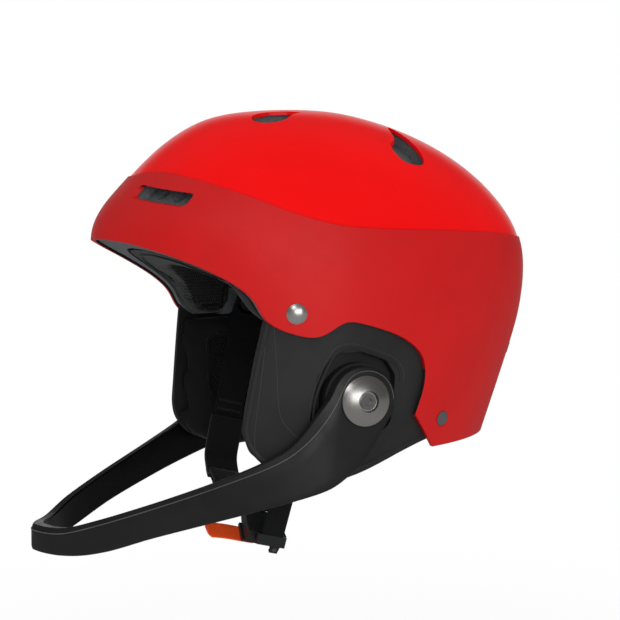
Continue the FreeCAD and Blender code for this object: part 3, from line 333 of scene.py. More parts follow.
cap_metal = turned_metal("cap_metal", (0.64, 0.62, 0.59), (hub_y * MM, hub_z * MM), 0.3)
screw_metal = turned_metal("screw_metal", (0.30, 0.30, 0.30), (hub_y * MM, hub_z * MM), 0.32)
fixing_metal = plastic("fixing_metal", (0.22, 0.22, 0.22), 0.34, metallic=1.0, edge=0.0003)

finishes = [
    (crown_paint, "crown_shell"), (band_paint, "lower_shell"), (liner_foam, "impact_liner"),
    (slip_film, "slip_layer"), (elastic, "slip_anchors"), (rivet_metal, "front_rivets"), (rivet_cap, "rear_rivets"),
    (cap_metal, "pivot_cap_left pivot_cap_right"), (screw_metal, "pivot_screws"),
    (guard_plastic, "chin_guard pivot_base_left pivot_base_right"),
    (fixing_metal, "pivot_nuts strap_anchor_left strap_anchor_right strap_ring lever_pin clip_pin"),
    (ear_plastic, "ear_guard_left ear_guard_right dial_bracket cradle_sleeve_left cradle_sleeve_right"),
    (ear_plastic, "goggle_clip clip_mount"),
    (buckle_plastic, "buckle_tongue buckle_housing buckle_lever dial_wheel nape_cradle"),
]
for finish, names in finishes:
    for name in names.split():
        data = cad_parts[name].data
        data.materials.clear()
        data.materials.append(finish)


# ======== Geometry helpers ========

def add_object(name, data):
    made = bpy.data.objects.new(name, data)
    scene.collection.objects.link(made)
    return made


def mesh_object(name, points, faces, material):
    data = bpy.data.meshes.new(name)
    data.from_pydata([tuple(p) for p in points], [], faces)
    data.validate()
    data.shade_smooth()
    data.materials.append(material)
    return add_object(name, data)


def wall_faces(rings, count, closed=False):
    """Quads between rings of count points, laid one ring after another."""
    faces = []
    for i in range(rings if closed else rings - 1):
        j = (i + 1) % rings
        for k in range(count):
            m = (k + 1) % count
            faces.append((i * count + k, j * count + k, j * count + m, i * count + m))
    return faces


def turned_over(faces):
    return [(face[0], *face[:0:-1]) for face in faces]


def keep(piece, body, slot):
    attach(piece, body)
    return piece


def softened_ramp(z, slope):
    below = 5.0 - z
    return slope * (math.hypot(below, 20.0) + below) / 2


def crown_share(z, rise, roundness):
    height = min(max((z - equator_z) / rise, 0.0), 1.0)
    return (1 - height ** roundness) ** (1 / roundness)


def half_axes(z, inset):
    """Front, rear and side reach of the shell's level section, made smaller by inset, in millimetres."""
    rise = shell_rise - inset
    visor = 27.4 * math.exp(-((z - 46.0) / 42.3) ** 2) * crown_share(z, rise, 2.0)
    front = crown_share(z, rise, 2.85) * (shell_front - inset) + visor
    rear = crown_share(z, rise, 1.784) * (shell_rear - inset - softened_ramp(z, 0.389))
    side = crown_share(z, rise, 2.3) * (shell_half_width - inset - softened_ramp(z, 0.12))
    return front, rear, side


def skin_x(y, z, inset):
    """Distance of the shell's side from the middle plane, at y and z, in millimetres."""
    front, rear, side = half_axes(z, inset)
    reach = front if y < middle_y else rear
    return side * math.sqrt(max(0.0, 1 - ((y - middle_y) / reach) ** 2))


def smooth_path(points, count, closed=False):
    """Evenly spaced points on a smooth curve through the given ones (Catmull-Rom)."""
    given = [np.array(p, float) for p in points]
    total = len(given)
    dense = []
    spans = total if closed else total - 1
    for i in range(spans):
        if closed:
            a, b, c, d = (given[(i + k) % total] for k in (-1, 0, 1, 2))
        else:
            a, b, c, d = (given[min(max(i + k, 0), total - 1)] for k in (-1, 0, 1, 2))
        for s in np.linspace(0, 1, 24, endpoint=False):
            dense.append(0.5 * (2 * b + (c - a) * s + (2 * a - 5 * b + 4 * c - d) * s * s
                                + (3 * b - a - 3 * c + d) * s ** 3))
    dense.append(given[0] if closed else given[-1])
    dense = np.array(dense)
    lengths = np.concatenate([[0], np.cumsum(np.linalg.norm(np.diff(dense, axis=0), axis=1))])
    wanted = np.linspace(0, lengths[-1], count, endpoint=not closed)
    return np.stack([np.interp(wanted, lengths, dense[:, k]) for k in range(dense.shape[1])], 1)


def tube(name, path, radius, material, closed=False, sides=10, flat=1.0, facing=None):
    """Round or flattened bead along a path. facing is the direction in which it is flattened."""
    path = np.asarray(path, float)
    count = len(path)
    ahead = np.roll(path, -1, 0) - np.roll(path, 1, 0)
    if not closed:
        ahead[0] = path[1] - path[0]
        ahead[-1] = path[-1] - path[-2]
    ahead /= np.linalg.norm(ahead, axis=1)[:, None]
    up = np.tile(np.array(facing if facing is not None else (0.0, 0.0, 1.0)), (count, 1))
    side = np.cross(ahead, up)
    side /= np.linalg.norm(side, axis=1)[:, None] + 1e-12
    over = np.cross(side, ahead)
    points = []
    for i in range(count):
        taper = 1.0 if closed or 0 < i < count - 1 else 0.5
        for k in range(sides):
            turn = 2 * math.pi * k / sides
            points.append(path[i] + radius * taper * (math.cos(turn) * side[i] + flat * math.sin(turn) * over[i]))
    faces = wall_faces(count, sides, closed)
    if not closed:
        faces.append(tuple(range(sides - 1, -1, -1)))
        faces.append(tuple((count - 1) * sides + k for k in range(sides)))
    return mesh_object(name, points, faces, material)


def leaned(points):
    """Turns points given on the hanging strap, in millimetres, to where the strap leans."""
    turn = Matrix.Rotation(strap_lean, 3, "X")
    pivot = Vector((0, anchor_y, anchor_z))
    return [tuple((turn @ (Vector(p) - pivot) + pivot) * MM) for p in points]


def point_uv(piece, values):
    """Gives each corner of the piece the UV, in metres, of its point."""
    layers = piece.data.uv_layers
    layer = layers[0] if layers else layers.new(name="UVMap")
    for loop in piece.data.loops:
        layer.data[loop.index].uv = values[loop.vertex_index]


def set_uv(piece, formula):
    point_uv(piece, [formula(v.co) for v in piece.data.vertices])


def bake_modifiers(piece):
    """Replaces the piece's mesh by what its modifiers make of it."""
    graph = bpy.context.evaluated_depsgraph_get()
    data = bpy.data.meshes.new_from_object(piece.evaluated_get(graph))
    piece.modifiers.clear()
    piece.data = data
    data.shade_smooth()
    return piece


def tree_of(piece):
    data = piece.data
    return BVHTree.FromPolygons([v.co for v in data.vertices], [p.vertices for p in data.polygons])


# ======== Soft pads ========

remesh_sizes = {"chin_pad": 0.0016, "nape_pad": 0.0026}
thin_remesh_size = 0.0026
remesh_size = 0.0038
thin_pad = 0.009
close_shrink = -0.0006
shrink = -0.0013
cloth_frames = 20
cloth_pressure = 4.0
largest_swell = 0.0030
under_surface = 0.0001

pads = [
    # piece, solid, body, slot, finish, fullness
    ("brow_cushion", "brow_pad", "helmet", "mesh_fabric", pad_mesh, 0.6),
    ("crown_cushion", "crown_pad", "helmet", "mesh_fabric", pad_mesh, 0.6),
    ("rear_cushion", "rear_pad", "helmet", "mesh_fabric", pad_mesh, 0.6),
    ("side_cushion_left", "side_pad_left", "helmet", "mesh_fabric", pad_mesh, 0.6),
    ("side_cushion_right", "side_pad_right", "helmet", "mesh_fabric", pad_mesh, 0.6),
    ("ear_cushion_left", "ear_pad_left", "helmet", "ear_pad_black", ear_cloth, 0.7),
    ("ear_cushion_right", "ear_pad_right", "helmet", "ear_pad_black", ear_cloth, 0.7),
    ("nape_cushion", "nape_pad", "cradle", "mesh_fabric", pad_cloth, 0.6),
    ("chin_cushion", "chin_pad", "chin_strap", "mesh_fabric", pad_cloth, 0.5),
]


def start_pad(name, solid, finish):
    """Slightly smaller, evenly meshed copy of the solid, ready to be inflated."""
    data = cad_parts[solid].data.copy()
    data.materials.clear()
    data.materials.append(finish)
    piece = add_object(name, data)
    low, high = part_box(solid)
    thin = min(high[k] - low[k] for k in range(3)) < thin_pad
    remesh = piece.modifiers.new("even", "REMESH")
    remesh.mode = "VOXEL"
    remesh.voxel_size = remesh_sizes.get(solid, thin_remesh_size if thin else remesh_size)
    smaller = piece.modifiers.new("shrink", "DISPLACE")
    smaller.strength = close_shrink if solid == "chin_pad" or solid.startswith("ear") else shrink
    smaller.mid_level = 0.0
    soften = piece.modifiers.new("soften", "SMOOTH")
    soften.factor = 0.5
    soften.iterations = 3 if solid == "chin_pad" else 5
    return bake_modifiers(piece)


def add_cloth(piece):
    cloth = piece.modifiers.new("cloth", "CLOTH")
    settings = cloth.settings
    settings.quality = 5
    settings.mass = 0.2
    settings.use_pressure = True
    settings.uniform_pressure_force = cloth_pressure
    settings.effector_weights.gravity = 0.0
    settings.tension_stiffness = settings.compression_stiffness = 12.0
    cloth.point_cache.frame_start = 1
    cloth.point_cache.frame_end = cloth_frames


def inside_solid(points, solid):
    """Moves points that have left the solid back to just under its surface."""
    tree = tree_of(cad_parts[solid])
    for i, point in enumerate(points):
        spot, normal, *_ = tree.find_nearest(Vector(point))
        if (Vector(point) - spot).dot(normal) > -under_surface:
            points[i] = spot - under_surface * normal
    return points


def finish_pad(piece, before, solid):
    """Caps the swelling, keeps the pad in its solid's space and smooths it once."""
    bake_modifiers(piece)
    after = np.array([v.co for v in piece.data.vertices])
    moved = after - before
    size = np.linalg.norm(moved, axis=1)[:, None] + 1e-12
    after = inside_solid(before + moved * np.minimum(1.0, largest_swell / size), solid)
    piece.data.vertices.foreach_set("co", np.asarray(after, np.float32).ravel())
    piece.data.update()
    ease = piece.modifiers.new("ease", "SMOOTH")
    ease.factor = 0.5
    ease.iterations = 3
    finer = piece.modifiers.new("finer", "SUBSURF")
    finer.levels = finer.render_levels = 1
    bake_modifiers(piece)


def around_head(point):
    """Unrolls a pad that goes round the head."""
    return (math.atan2(point.x, axis_y - point.y) * 0.085 + 0.5, point.z + 0.5)


def side_on(point):
    return (point.y + 0.5, point.z + 0.5)


def plan_view(point):
    return (point.x + 0.5, point.y + 0.5)


unrolled = {"crown_pad": plan_view, "ear_pad_left": side_on, "ear_pad_right": side_on, "rear_pad": side_on}
pad_pieces = {name: start_pad(name, solid, finish) for name, solid, body, slot, finish, fill in pads}
rest_points = {name: np.array([v.co for v in piece.data.vertices]) for name, piece in pad_pieces.items()}
for piece in pad_pieces.values():
    add_cloth(piece)
for step in range(1, cloth_frames + 1):
    scene.frame_set(step)
for name, solid, body, slot, finish, fill in pads:
    piece = pad_pieces[name]
    finish_pad(piece, rest_points[name], solid)
    set_uv(piece, unrolled.get(solid, around_head))
    keep(piece, body, slot)
    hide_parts(solid)
scene.frame_set(1)


# ======== Seams, piping and stitching ========

def on_pad(piece, start, direction):
    """Where a ray meets the piece, or None."""
    return trees[piece].ray_cast(Vector(start), Vector(direction).normalized())[0]


trees = {name: tree_of(piece) for name, piece in pad_pieces.items()}


def stitches(name, path, normal_of, length, gap, radius, body, slot):
    """Row of short raised stitches along a path of points."""
    path = np.asarray(path, float)
    lengths = np.concatenate([[0], np.cumsum(np.linalg.norm(np.diff(path, axis=0), axis=1))])
    points, faces = [], []
    for begin in np.arange(0, lengths[-1] - length, length + gap):
        ends = [np.array([np.interp(begin + s * length, lengths, path[:, k]) for k in range(3)]) for s in (0, .5, 1)]
        up = np.array(normal_of(ends[1]))
        along = ends[2] - ends[0]
        side = np.cross(along, up)
        side /= np.linalg.norm(side) + 1e-12
        base = len(points)
        for end, lift in zip(ends, (-0.4, 0.7, -0.4)):
            for k in range(6):
                turn = math.pi * k / 3
                points.append(end + radius * (math.cos(turn) * side + (math.sin(turn) + lift) * up))
        faces += [tuple(base + k for k in face) for face in turned_over(wall_faces(3, 6))]
        faces.append(tuple(base + k for k in range(5, -1, -1)))
        faces.append(tuple(base + 12 + k for k in range(6)))
    return keep(mesh_object(name, points, faces, thread), body, slot)


shell_edge = [(-131, 43.3), (-122, 40), (-106, 33.4), (-90, 25.6), (-77, 17.5), (-68.5, 8.8), (-63.4, 0),
              (-56, -5.6), (-46, -9.2), (-36, -10.4)]
brow_top = [(-150, 58), (-70, 58), (-46, 46), (-30, 30), (-26.5, 11)]
brow_lowest = -5.4
brow_end_angle = math.radians(72)
piping_inset = 6.0
stitch_inset = 8.2


def brow_height(y, inset, upper):
    """Height, in millimetres, of a line on the brow pad set in from its upper or lower edge."""
    line = brow_top if upper else shell_edge
    rim = float(np.interp(y, [p[0] for p in line], [p[1] for p in line]))
    return rim - inset if upper else max(rim, brow_lowest) + inset


def brow_reach():
    """Angle and reach, in metres, of the brow pad's underside, outwards from the head's axis."""
    reach = {}
    for face in pad_pieces["brow_cushion"].data.polygons:
        if face.normal.z < -0.5:
            x, forwards = face.center.x, axis_y - face.center.y
            sector = round(math.degrees(math.atan2(x, forwards)) / 5.0) * 5
            reach[sector] = max(reach.get(sector, 0.0), math.hypot(x, forwards))
    angles = sorted(reach)
    return angles, [reach[a] for a in angles]


brow_angles, brow_reaches = brow_reach()
brow_wrap_angle = math.radians(48)
brow_wrap_inset = 0.0065


def brow_wrap(a, inset):
    """Distance, in metres, from the head's axis to a line on the brow pad's underside."""
    reach = float(np.interp(math.degrees(a), brow_angles, brow_reaches))
    return reach - brow_wrap_inset - (inset - piping_inset) * MM


def brow_contour(inset, end_angle, count=44):
    """Closed line on the brow pad's inner face and, at the front, its underside, set in from its edges."""
    found = []
    for sweep, upper in ((1, False), (-1, True)):
        for a in np.linspace(-end_angle, end_angle, count) * sweep:
            outward = (math.sin(a), -math.cos(a), 0)
            if not upper and abs(a) < brow_wrap_angle:
                r = brow_wrap(a, inset)
                point = on_pad("brow_cushion", (r * outward[0], r * outward[1] + axis_y, -0.05), (0, 0, 1))
            else:
                y = -86.0 * math.cos(a)
                for repeat in range(4):
                    height = brow_height(y, inset, upper)
                    point = on_pad("brow_cushion", (0, axis_y, height * MM), outward)
                    if point is not None:
                        y = point.y / MM
            if point is not None:
                found.append(tuple(point))
    return smooth_path(found, 260, closed=True)


def towards_head(point):
    return tuple(Vector((-point[0], axis_y - point[1], 0)).normalized())


rim = brow_contour(piping_inset, brow_end_angle)
keep(tube("brow_piping", rim, 0.0010, pad_cloth, closed=True), "helmet", "mesh_fabric")
inner_rim = brow_contour(stitch_inset, brow_end_angle - math.radians(2))
stitches("brow_stitching", inner_rim, towards_head, 0.0022, 0.0012, 0.0003, "helmet", "mesh_fabric")


def inside_brow_rim(face):
    """True where the brow pad's face lies inside its piped rim."""
    y, z = face.center.y / MM, face.center.z / MM
    x, forwards = abs(face.center.x), axis_y - face.center.y
    turn = math.atan2(x, forwards)
    faces_head = face.normal.dot(towards_head(face.center)) > 0.3
    if turn < brow_wrap_angle and z < 60 and face.normal.z < 0.3:
        return math.hypot(x, forwards) < brow_wrap(turn, piping_inset)
    lower, upper = (brow_height(y, piping_inset, top) for top in (False, True))
    return faces_head and turn < brow_end_angle and lower < z < upper


brow_mesh = pad_pieces["brow_cushion"].data
brow_mesh.materials.append(pad_cloth)
for face in brow_mesh.polygons:
    face.material_index = 0 if inside_brow_rim(face) else 1


def window_contour(side, sign, outline):
    """Line on an ear pad's inner face over an outline given in y and z, in millimetres."""
    found = (on_pad("ear_cushion_" + side, (0.0, y * MM, z * MM), (sign, 0, 0)) for y, z in outline)
    return np.array([tuple(point) for point in found if point is not None])


def rounded_box(y_from, y_to, z_from, z_to, radius, count=16):
    points = []
    corners = [(y_to - radius, z_to - radius, 0), (y_from + radius, z_to - radius, 90),
               (y_from + radius, z_from + radius, 180), (y_to - radius, z_from + radius, 270)]
    for y, z, start in corners:
        for a in np.linspace(start, start + 90, count):
            points.append((y + radius * math.cos(math.radians(a)), z + radius * math.sin(math.radians(a))))
    return points


for side, sign in sides:
    seam = window_contour(side, sign, rounded_box(-44, 6, -64, -19, 9))
    bead = tube("ear_window_piping_" + side, smooth_path(seam, 160, closed=True), 0.0008, ear_cloth, closed=True)
    keep(bead, "helmet", "ear_pad_black")


def window_panel(side, sign):
    """Thin mesh over the floor of the ear pad's recess, coloured darker than the pad mesh as painted shade."""
    outline = rounded_box(-45, 7, -65, -18, 8, 10)
    centre = np.array((-19.0, -41.5))
    rings = 7
    points = []
    for k in range(rings):
        share = 1 - k / rings
        for y, z in (centre + (np.array(p) - centre) * share for p in outline):
            slope = 81.5 - (-6.0 - z) * (13.5 / 92.0)
            points.append((sign * (slope + 5.4 - 1.2 * (1 - share * share)) * MM, y * MM, z * MM))
    n = len(outline)
    faces = turned_over(wall_faces(rings, n))
    faces.append(tuple((rings - 1) * n + i for i in range(n)))
    piece = mesh_object("ear_window_" + side, points, faces, window_mesh_painted_shade)
    thicken = piece.modifiers.new("thicken", "SOLIDIFY")
    thicken.thickness = 0.0004
    thicken.offset = 0.0
    bake_modifiers(piece)
    set_uv(piece, side_on)
    return keep(piece, "helmet", "ear_pad_black")


for side, sign in sides:
    window_panel(side, sign)


# ======== Webbing ========

def bent_path(points, radius, step=1.5):
    """Straight runs joined by arcs, as (x, z) points about a step apart."""
    path = [np.array(points[0], float)]
    for a, b, c in zip(points, points[1:], points[2:]):
        a, b, c = (np.array(p, float) for p in (a, b, c))
        before, after = (a - b) / np.linalg.norm(a - b), (c - b) / np.linalg.norm(c - b)
        half = math.acos(np.clip(before @ after, -1, 1)) / 2
        cut = min(radius / math.tan(half), 0.45 * np.linalg.norm(a - b), 0.45 * np.linalg.norm(c - b))
        start, end = b + before * cut, b + after * cut
        for s in np.linspace(0, 1, 9):
            path.append((1 - s) ** 2 * start + 2 * s * (1 - s) * b + s * s * end)
    path.append(np.array(points[-1], float))
    dense = [path[0]]
    for p, q in zip(path, path[1:]):
        pieces = max(1, int(np.linalg.norm(q - p) / step))
        dense += [p + (q - p) * k / pieces for k in range(1, pieces + 1)]
    return np.array(dense)


def webbing(name, path, width, thickness, body, material=webbing_cloth, y_middle=anchor_y, wave=0.0):
    """Flat strap along a path of (x, z) points: rounded selvedges, woven faces and UV in metres."""
    section = [(-0.5, -0.30), (-0.485, -0.46), (-0.45, -0.5), (0.0, -0.5), (0.45, -0.5), (0.485, -0.46), (0.5, -0.30),
               (0.5, 0.30), (0.485, 0.46), (0.45, 0.5), (0.0, 0.5), (-0.45, 0.5), (-0.485, 0.46), (-0.5, 0.30)]
    path = np.asarray(path, float)
    ahead = np.gradient(path, axis=0)
    ahead /= np.linalg.norm(ahead, axis=1)[:, None]
    run = np.concatenate([[0], np.cumsum(np.linalg.norm(np.diff(path, axis=0), axis=1))])
    points, uv = [], []
    for p, t, s in zip(path, ahead, run):
        normal = np.array([t[1], -t[0]])
        ripple = wave * math.sin(s / 2.1)
        for across, over in section:
            edge = ripple if abs(across) > 0.4 else 0.0
            spot = p + normal * (over * thickness)
            points.append((spot[0], y_middle + across * (width + edge), spot[1]))
            uv.append((s * MM, (across * width + (width if over > 0 else 0)) * MM))
    n = len(section)
    faces = turned_over(wall_faces(len(path), n))
    faces += [tuple(range(n)), tuple((len(path) - 1) * n + k for k in range(n - 1, -1, -1))]
    piece = mesh_object(name, leaned(points), faces, material)
    point_uv(piece, uv)
    return keep(piece, body, "webbing")


def latch_point(angle, radius):
    """Point (x, z) on the buckle's arc about the ring, angle in degrees from straight down."""
    turn = math.radians(angle)
    return (ring_x - radius * math.sin(turn), ring_z - radius * math.cos(turn))


def eyelet_plate(name, sign, body):
    """Round end of the webbing, bound and punched for the anchor bolt."""
    made = bmesh.new()
    rings = []
    for radius, x in ((2.6, 0.9), (8.4, 0.9), (9.0, 0.5), (9.0, -0.5), (8.4, -0.9), (2.6, -0.9)):
        ring = []
        for k in range(48):
            turn = 2 * math.pi * k / 48
            ring.append((sign * (anchor_x + x), anchor_y + radius * math.cos(turn),
                         anchor_z + radius * math.sin(turn)))
        rings.append([made.verts.new(p) for p in leaned(ring)])
    for a, b in zip(rings, rings[1:] + rings[:1]):
        for k in range(48):
            made.faces.new((a[k], a[(k + 1) % 48], b[(k + 1) % 48], b[k]))
    data = bpy.data.meshes.new(name)
    bmesh.ops.recalc_face_normals(made, faces=made.faces)
    made.to_mesh(data)
    made.free()
    data.materials.append(webbing_cloth)
    piece = add_object(name, data)
    set_uv(piece, side_on)
    return keep(piece, body, "webbing")


def loop_round_ring(way):
    """Points of the fold round the ring, open on the side that the strap comes from: way is 1 above, -1 below."""
    return [(ring_x + fold_radius * math.sin(a), ring_z + way * fold_radius * math.cos(a))
            for a in np.linspace(-2.6, 2.6, 28)]


fold_radius = 2.7
fold_thickness = 1.6
neck_width = 7.2
bend_radius = 14.0
ripple = 0.12

left_path = bent_path([(anchor_x, anchor_z - 3), (anchor_x, anchor_z - 9), (ring_x, ring_z + 5.0)], bend_radius)
web_left = webbing("webbing_left", left_path, strap_width, strap_thickness, "chin_strap", wave=ripple)
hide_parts("strap_web_left")
eyelet_plate("webbing_left_end", 1, "chin_strap")
for offset, label in ((-7.2, "front"), (7.2, "rear")):
    webbing("webbing_left_loop_" + label, loop_round_ring(1), 5.4, fold_thickness, "chin_strap",
            y_middle=anchor_y + offset)

end_path = bent_path([(ring_x, ring_z - 4.0), latch_point(4.5, 33.3)], 1.0)
web_end = webbing("webbing_end", end_path, 14.0, strap_thickness, "strap_end")
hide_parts("strap_web_end")
webbing("webbing_end_loop", loop_round_ring(-1), neck_width, fold_thickness, "strap_end")
webbing("webbing_end_neck", [(ring_x, ring_z - 2.8), (ring_x, ring_z - 5.2)], neck_width, 1.3, "strap_end")

start = latch_point(47.5, 37.2)
right_points = [(start[0], start[1]), (start[0] - 6, start[1] + 2.5), (-22, start[1] + 3), (-50, start[1] + 15),
                (-ring_x, ring_z), (-anchor_x, anchor_z - 9), (-anchor_x, anchor_z - 3)]
web_right = webbing("webbing_right", bent_path(right_points, bend_radius), strap_width, strap_thickness,
                    "chin_strap", wave=ripple)
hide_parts("strap_web_right")
eyelet_plate("webbing_right_end", -1, "chin_strap")
sleeve_points = [(-ring_x - 3.6, ring_z + 27.0), (-ring_x, ring_z), (-50, start[1] + 15), (-46, start[1] + 13)]
webbing("webbing_sleeve", bent_path(sleeve_points, bend_radius), strap_width + 3.0, strap_thickness + 2.0,
        "chin_strap", pad_cloth)


# ======== Chin guard ========

plan_points = [(107, -33), (101.5, -50), (92, -72), (77, -100), (60, -128), (41, -153), (20, -170), (0, -180)]
top_line = [(-33.0, -50.8), (-40, -60), (-47, -70.5), (-64, -81), (-90, -92.8), (-120, -105.0), (-150, -117.2),
            (-168, -124.6), (-180, -125.2)]
bottom_line = [(-33.0, -98.5), (-52, -104.2), (-80, -112.6), (-120, -125.4), (-150, -136.8), (-168, -141.0),
               (-180, -140.9)]
arm_columns = 64
hub_columns = 40
face_rows = 8
crease_row = 5


def plan_curves():
    """Outer and inner line of the bow in plan from the left straight to the nose, as (x, y) points."""
    pick = np.linspace(0, 1, arm_columns)

    def through(points):
        lead = [(points[0][0], points[0][1] + 12)]
        mirrored = [(-x, y) for x, y in reversed(lead + points[:-1])]
        path = smooth_path(lead + points + mirrored, 1200)
        kept = path[(path[:, 1] <= guard_straight_y + 0.01) & (path[:, 0] >= -0.02)]
        return np.stack([np.interp(pick, np.linspace(0, 1, len(kept)), kept[:, k]) for k in (0, 1)], 1)

    shares = [k / (len(plan_points) - 1) for k in range(len(plan_points))]
    return through(plan_points), through([(x - guard_thickness * (1 - s), y + guard_thickness * s)
                                          for s, (x, y) in zip(shares, plan_points)])


def arc(centre, radius, start, end, count):
    return [(centre[0] + radius * math.cos(a), centre[1] + radius * math.sin(a))
            for a in np.radians(np.linspace(start, end, count))]


def hub_chains():
    """Upper and lower edges of the arm's end, from the rear of the hub forwards, as (y, z) points."""
    hub = (hub_y, hub_z)
    top = arc(hub, hub_radius, -5, 172, 26) + [(-29.5, -45.8), (-33.0, -50.8)]
    bottom = arc(hub, hub_radius, -5, -38, 8) + [(-1.0, -71.2), (-9.0, -82.4), (-19.0, -90.9), (-28.0, -96.6),
                                               (-33.0, -98.5)]
    return smooth_path(top, hub_columns), smooth_path(bottom, hub_columns)


def edge_normals(chain, sign):
    ahead = np.gradient(chain, axis=0)
    ahead /= np.linalg.norm(ahead, axis=1)[:, None] + 1e-9
    return sign * np.stack([ahead[:, 1], -ahead[:, 0]], 1)


def chamfer_width(y, at_hub):
    """The bevel is narrow round the hub, broad at the neck and narrow again along the arm."""
    if at_hub:
        forward = min(max((hub_y - y - 4) / 20.0, 0.0), 1.0)
        return 1.3 + 6.2 * forward ** 2
    return 3.2 + 4.3 * math.exp(-((y + 38.0) / 16.0) ** 2)


def cross_section(top, bottom, up, down, bevel, place):
    """Closed ring of points round one column. place turns (y, z, depth) into a point."""
    low_bevel = 1.3
    slant = 0.25 * bevel
    ring = [(top - up * 0.9, guard_thickness), (top, guard_thickness - 0.9), (top, slant + 0.9),
            (top - up * 0.45, slant + 0.35), (top - up * (bevel - 0.15), 0.12), (top - up * (bevel + 0.15), 0.0)]
    last = bottom + down * -(low_bevel + 0.6)
    first = top - up * (bevel + 0.15)
    for k in range(1, face_rows):
        share = k / face_rows
        ring.append((first + (last - first) * share, 0.0))
    ring += [(last, 0.0), (bottom - down * low_bevel * 0.35, 0.35), (bottom, low_bevel),
             (bottom, guard_thickness - 0.9), (bottom - down * 0.9, guard_thickness)]
    back_first, back_last = bottom - down * 0.9, top - up * 0.9
    for k in range(1, face_rows):
        ring.append((back_first + (back_last - back_first) * k / face_rows, guard_thickness))
    return [place(p[0], p[1], depth) for p, depth in ring]


def guard_rings():
    """Rings of points from the left hub round the nose to the right hub."""
    tops, bottoms = hub_chains()
    ups, downs = edge_normals(tops, 1), edge_normals(bottoms, -1)
    rings = []

    def straight(y, z, depth):
        return (hub_face_x - depth, y, z)

    for i in range(1, hub_columns - 1):
        middle = (tops[i] + bottoms[i]) / 2
        up = ups[i] if ups[i] @ (tops[i] - middle) >= 0 else -ups[i]
        down = downs[i] if downs[i] @ (bottoms[i] - middle) >= 0 else -downs[i]
        room = np.linalg.norm(tops[i] - bottoms[i]) / 3.2
        bevel = min(chamfer_width(tops[i][0], True), room)
        rings.append(cross_section(tops[i], bottoms[i], up, down, bevel, straight))
    outer, inner = plan_curves()
    upper, lower = smooth_path(top_line, 400), smooth_path(bottom_line, 400)
    for i in range(1, arm_columns):
        y = outer[i][1]
        top = np.array((y, np.interp(-y, -upper[:, 0], upper[:, 1])))
        bottom = np.array((y, np.interp(-y, -lower[:, 0], lower[:, 1])))

        def bowed(y_now, z, depth, i=i):
            mix = depth / guard_thickness
            return (outer[i][0] * (1 - mix) + inner[i][0] * mix, outer[i][1] * (1 - mix) + inner[i][1] * mix, z)
        up, down = np.array((0.0, 1.0)), np.array((0.0, -1.0))
        bevel = chamfer_width(y, False) * (1.0 + 0.55 * math.exp(-((y + 40) / 10.0) ** 2))
        rings.append(cross_section(top, bottom, up, down, bevel, bowed))
    mirrored_rings = [[(-x, y, z) for x, y, z in ring] for ring in reversed(rings[:-1])]
    return rings + mirrored_rings


def eased_columns(rings, reach, width, rows=None):
    """Evens out the columns near the neck of the left arm, for all rows or the given ones."""
    rings = np.array(rings, float)
    neck = hub_columns - 2
    offsets = np.arange(-3 * width, 3 * width + 1)
    weights = np.exp(-0.5 * (offsets / width) ** 2)
    weights /= weights.sum()
    eased = rings.copy()
    picked = rows if rows is not None else range(rings.shape[1])
    for i in range(max(neck - reach, 1), neck + reach):
        blend = min(1.0, 3.0 * (1 - abs(i - neck) / reach))
        near = np.clip(i + offsets, 0, len(rings) - 1)
        for row in picked:
            average = (rings[near, row] * weights[:, None]).sum(0)
            eased[i, row] = rings[i, row] * (1 - blend) + average * blend
    return eased


def eased_rings():
    """Rings of the whole bow, with the left neck smoothed and the right side its mirror image."""
    rings = np.array(guard_rings())
    half = len(rings) // 2 + 1
    left = eased_columns(rings[:half], 14, 2)
    left = eased_columns(left, 30, 4, rows=[crease_row - 1, crease_row])
    right = left[:-1][::-1] * np.array((-1.0, 1.0, 1.0))
    return np.concatenate([left, right])


def make_guard():
    rings = eased_rings()
    n = len(rings[0])
    points = [tuple(c * MM for c in p) for ring in rings for p in ring]
    faces = wall_faces(len(rings), n)
    faces += [tuple(range(n)), tuple((len(rings) - 1) * n + k for k in range(n - 1, -1, -1))]
    piece = mesh_object("guard_bow", points, faces, guard_plastic)
    made = bmesh.new()
    made.from_mesh(piece.data)
    bmesh.ops.recalc_face_normals(made, faces=made.faces)
    made.to_mesh(piece.data)
    made.free()
    drill = bmesh.new()
    axis = Matrix.Translation((0, hub_y * MM, hub_z * MM)) @ Matrix.Rotation(math.pi / 2, 4, "Y")
    bmesh.ops.create_cone(drill, cap_ends=True, segments=72, radius1=hub_bore, radius2=hub_bore, depth=0.4,
                          matrix=axis)
    data = bpy.data.meshes.new("bore")
    drill.to_mesh(data)
    drill.free()
    cutter = add_object("bore", data)
    bore = piece.modifiers.new("bore", "BOOLEAN")
    bore.object = cutter
    bore.solver = "EXACT"
    bake_modifiers(piece)
    bpy.data.objects.remove(cutter)
    piece.data.set_sharp_from_angle(angle=math.radians(28))
    return piece


guard = keep(make_guard(), "chin_guard", "guard_black")
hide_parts("chin_guard")

# The inner face is smoother than the outer one, and is painted darker as shade on the faces turned towards the head.
guard.data.materials.append(guard_inside_painted_shade)
for face in guard.data.polygons:
    middle = face.center
    inward = Vector((-middle.x, -middle.y - 0.07, 0)).normalized()
    if face.normal.dot(inward) > 0.35 and abs(face.normal.z) < 0.6 and middle.y < -0.035:
        face.material_index = 1

# The crease bead's lighter colour paints the highlight along the crease.
crease = [Vector(ring[crease_row]) * MM for ring in eased_rings()]
keep(tube("guard_crease", crease, 0.00034, crease_painted_highlight, sides=8), "chin_guard", "guard_black")


# ======== Pull tab ========

buckle_middle = math.radians(33.5)


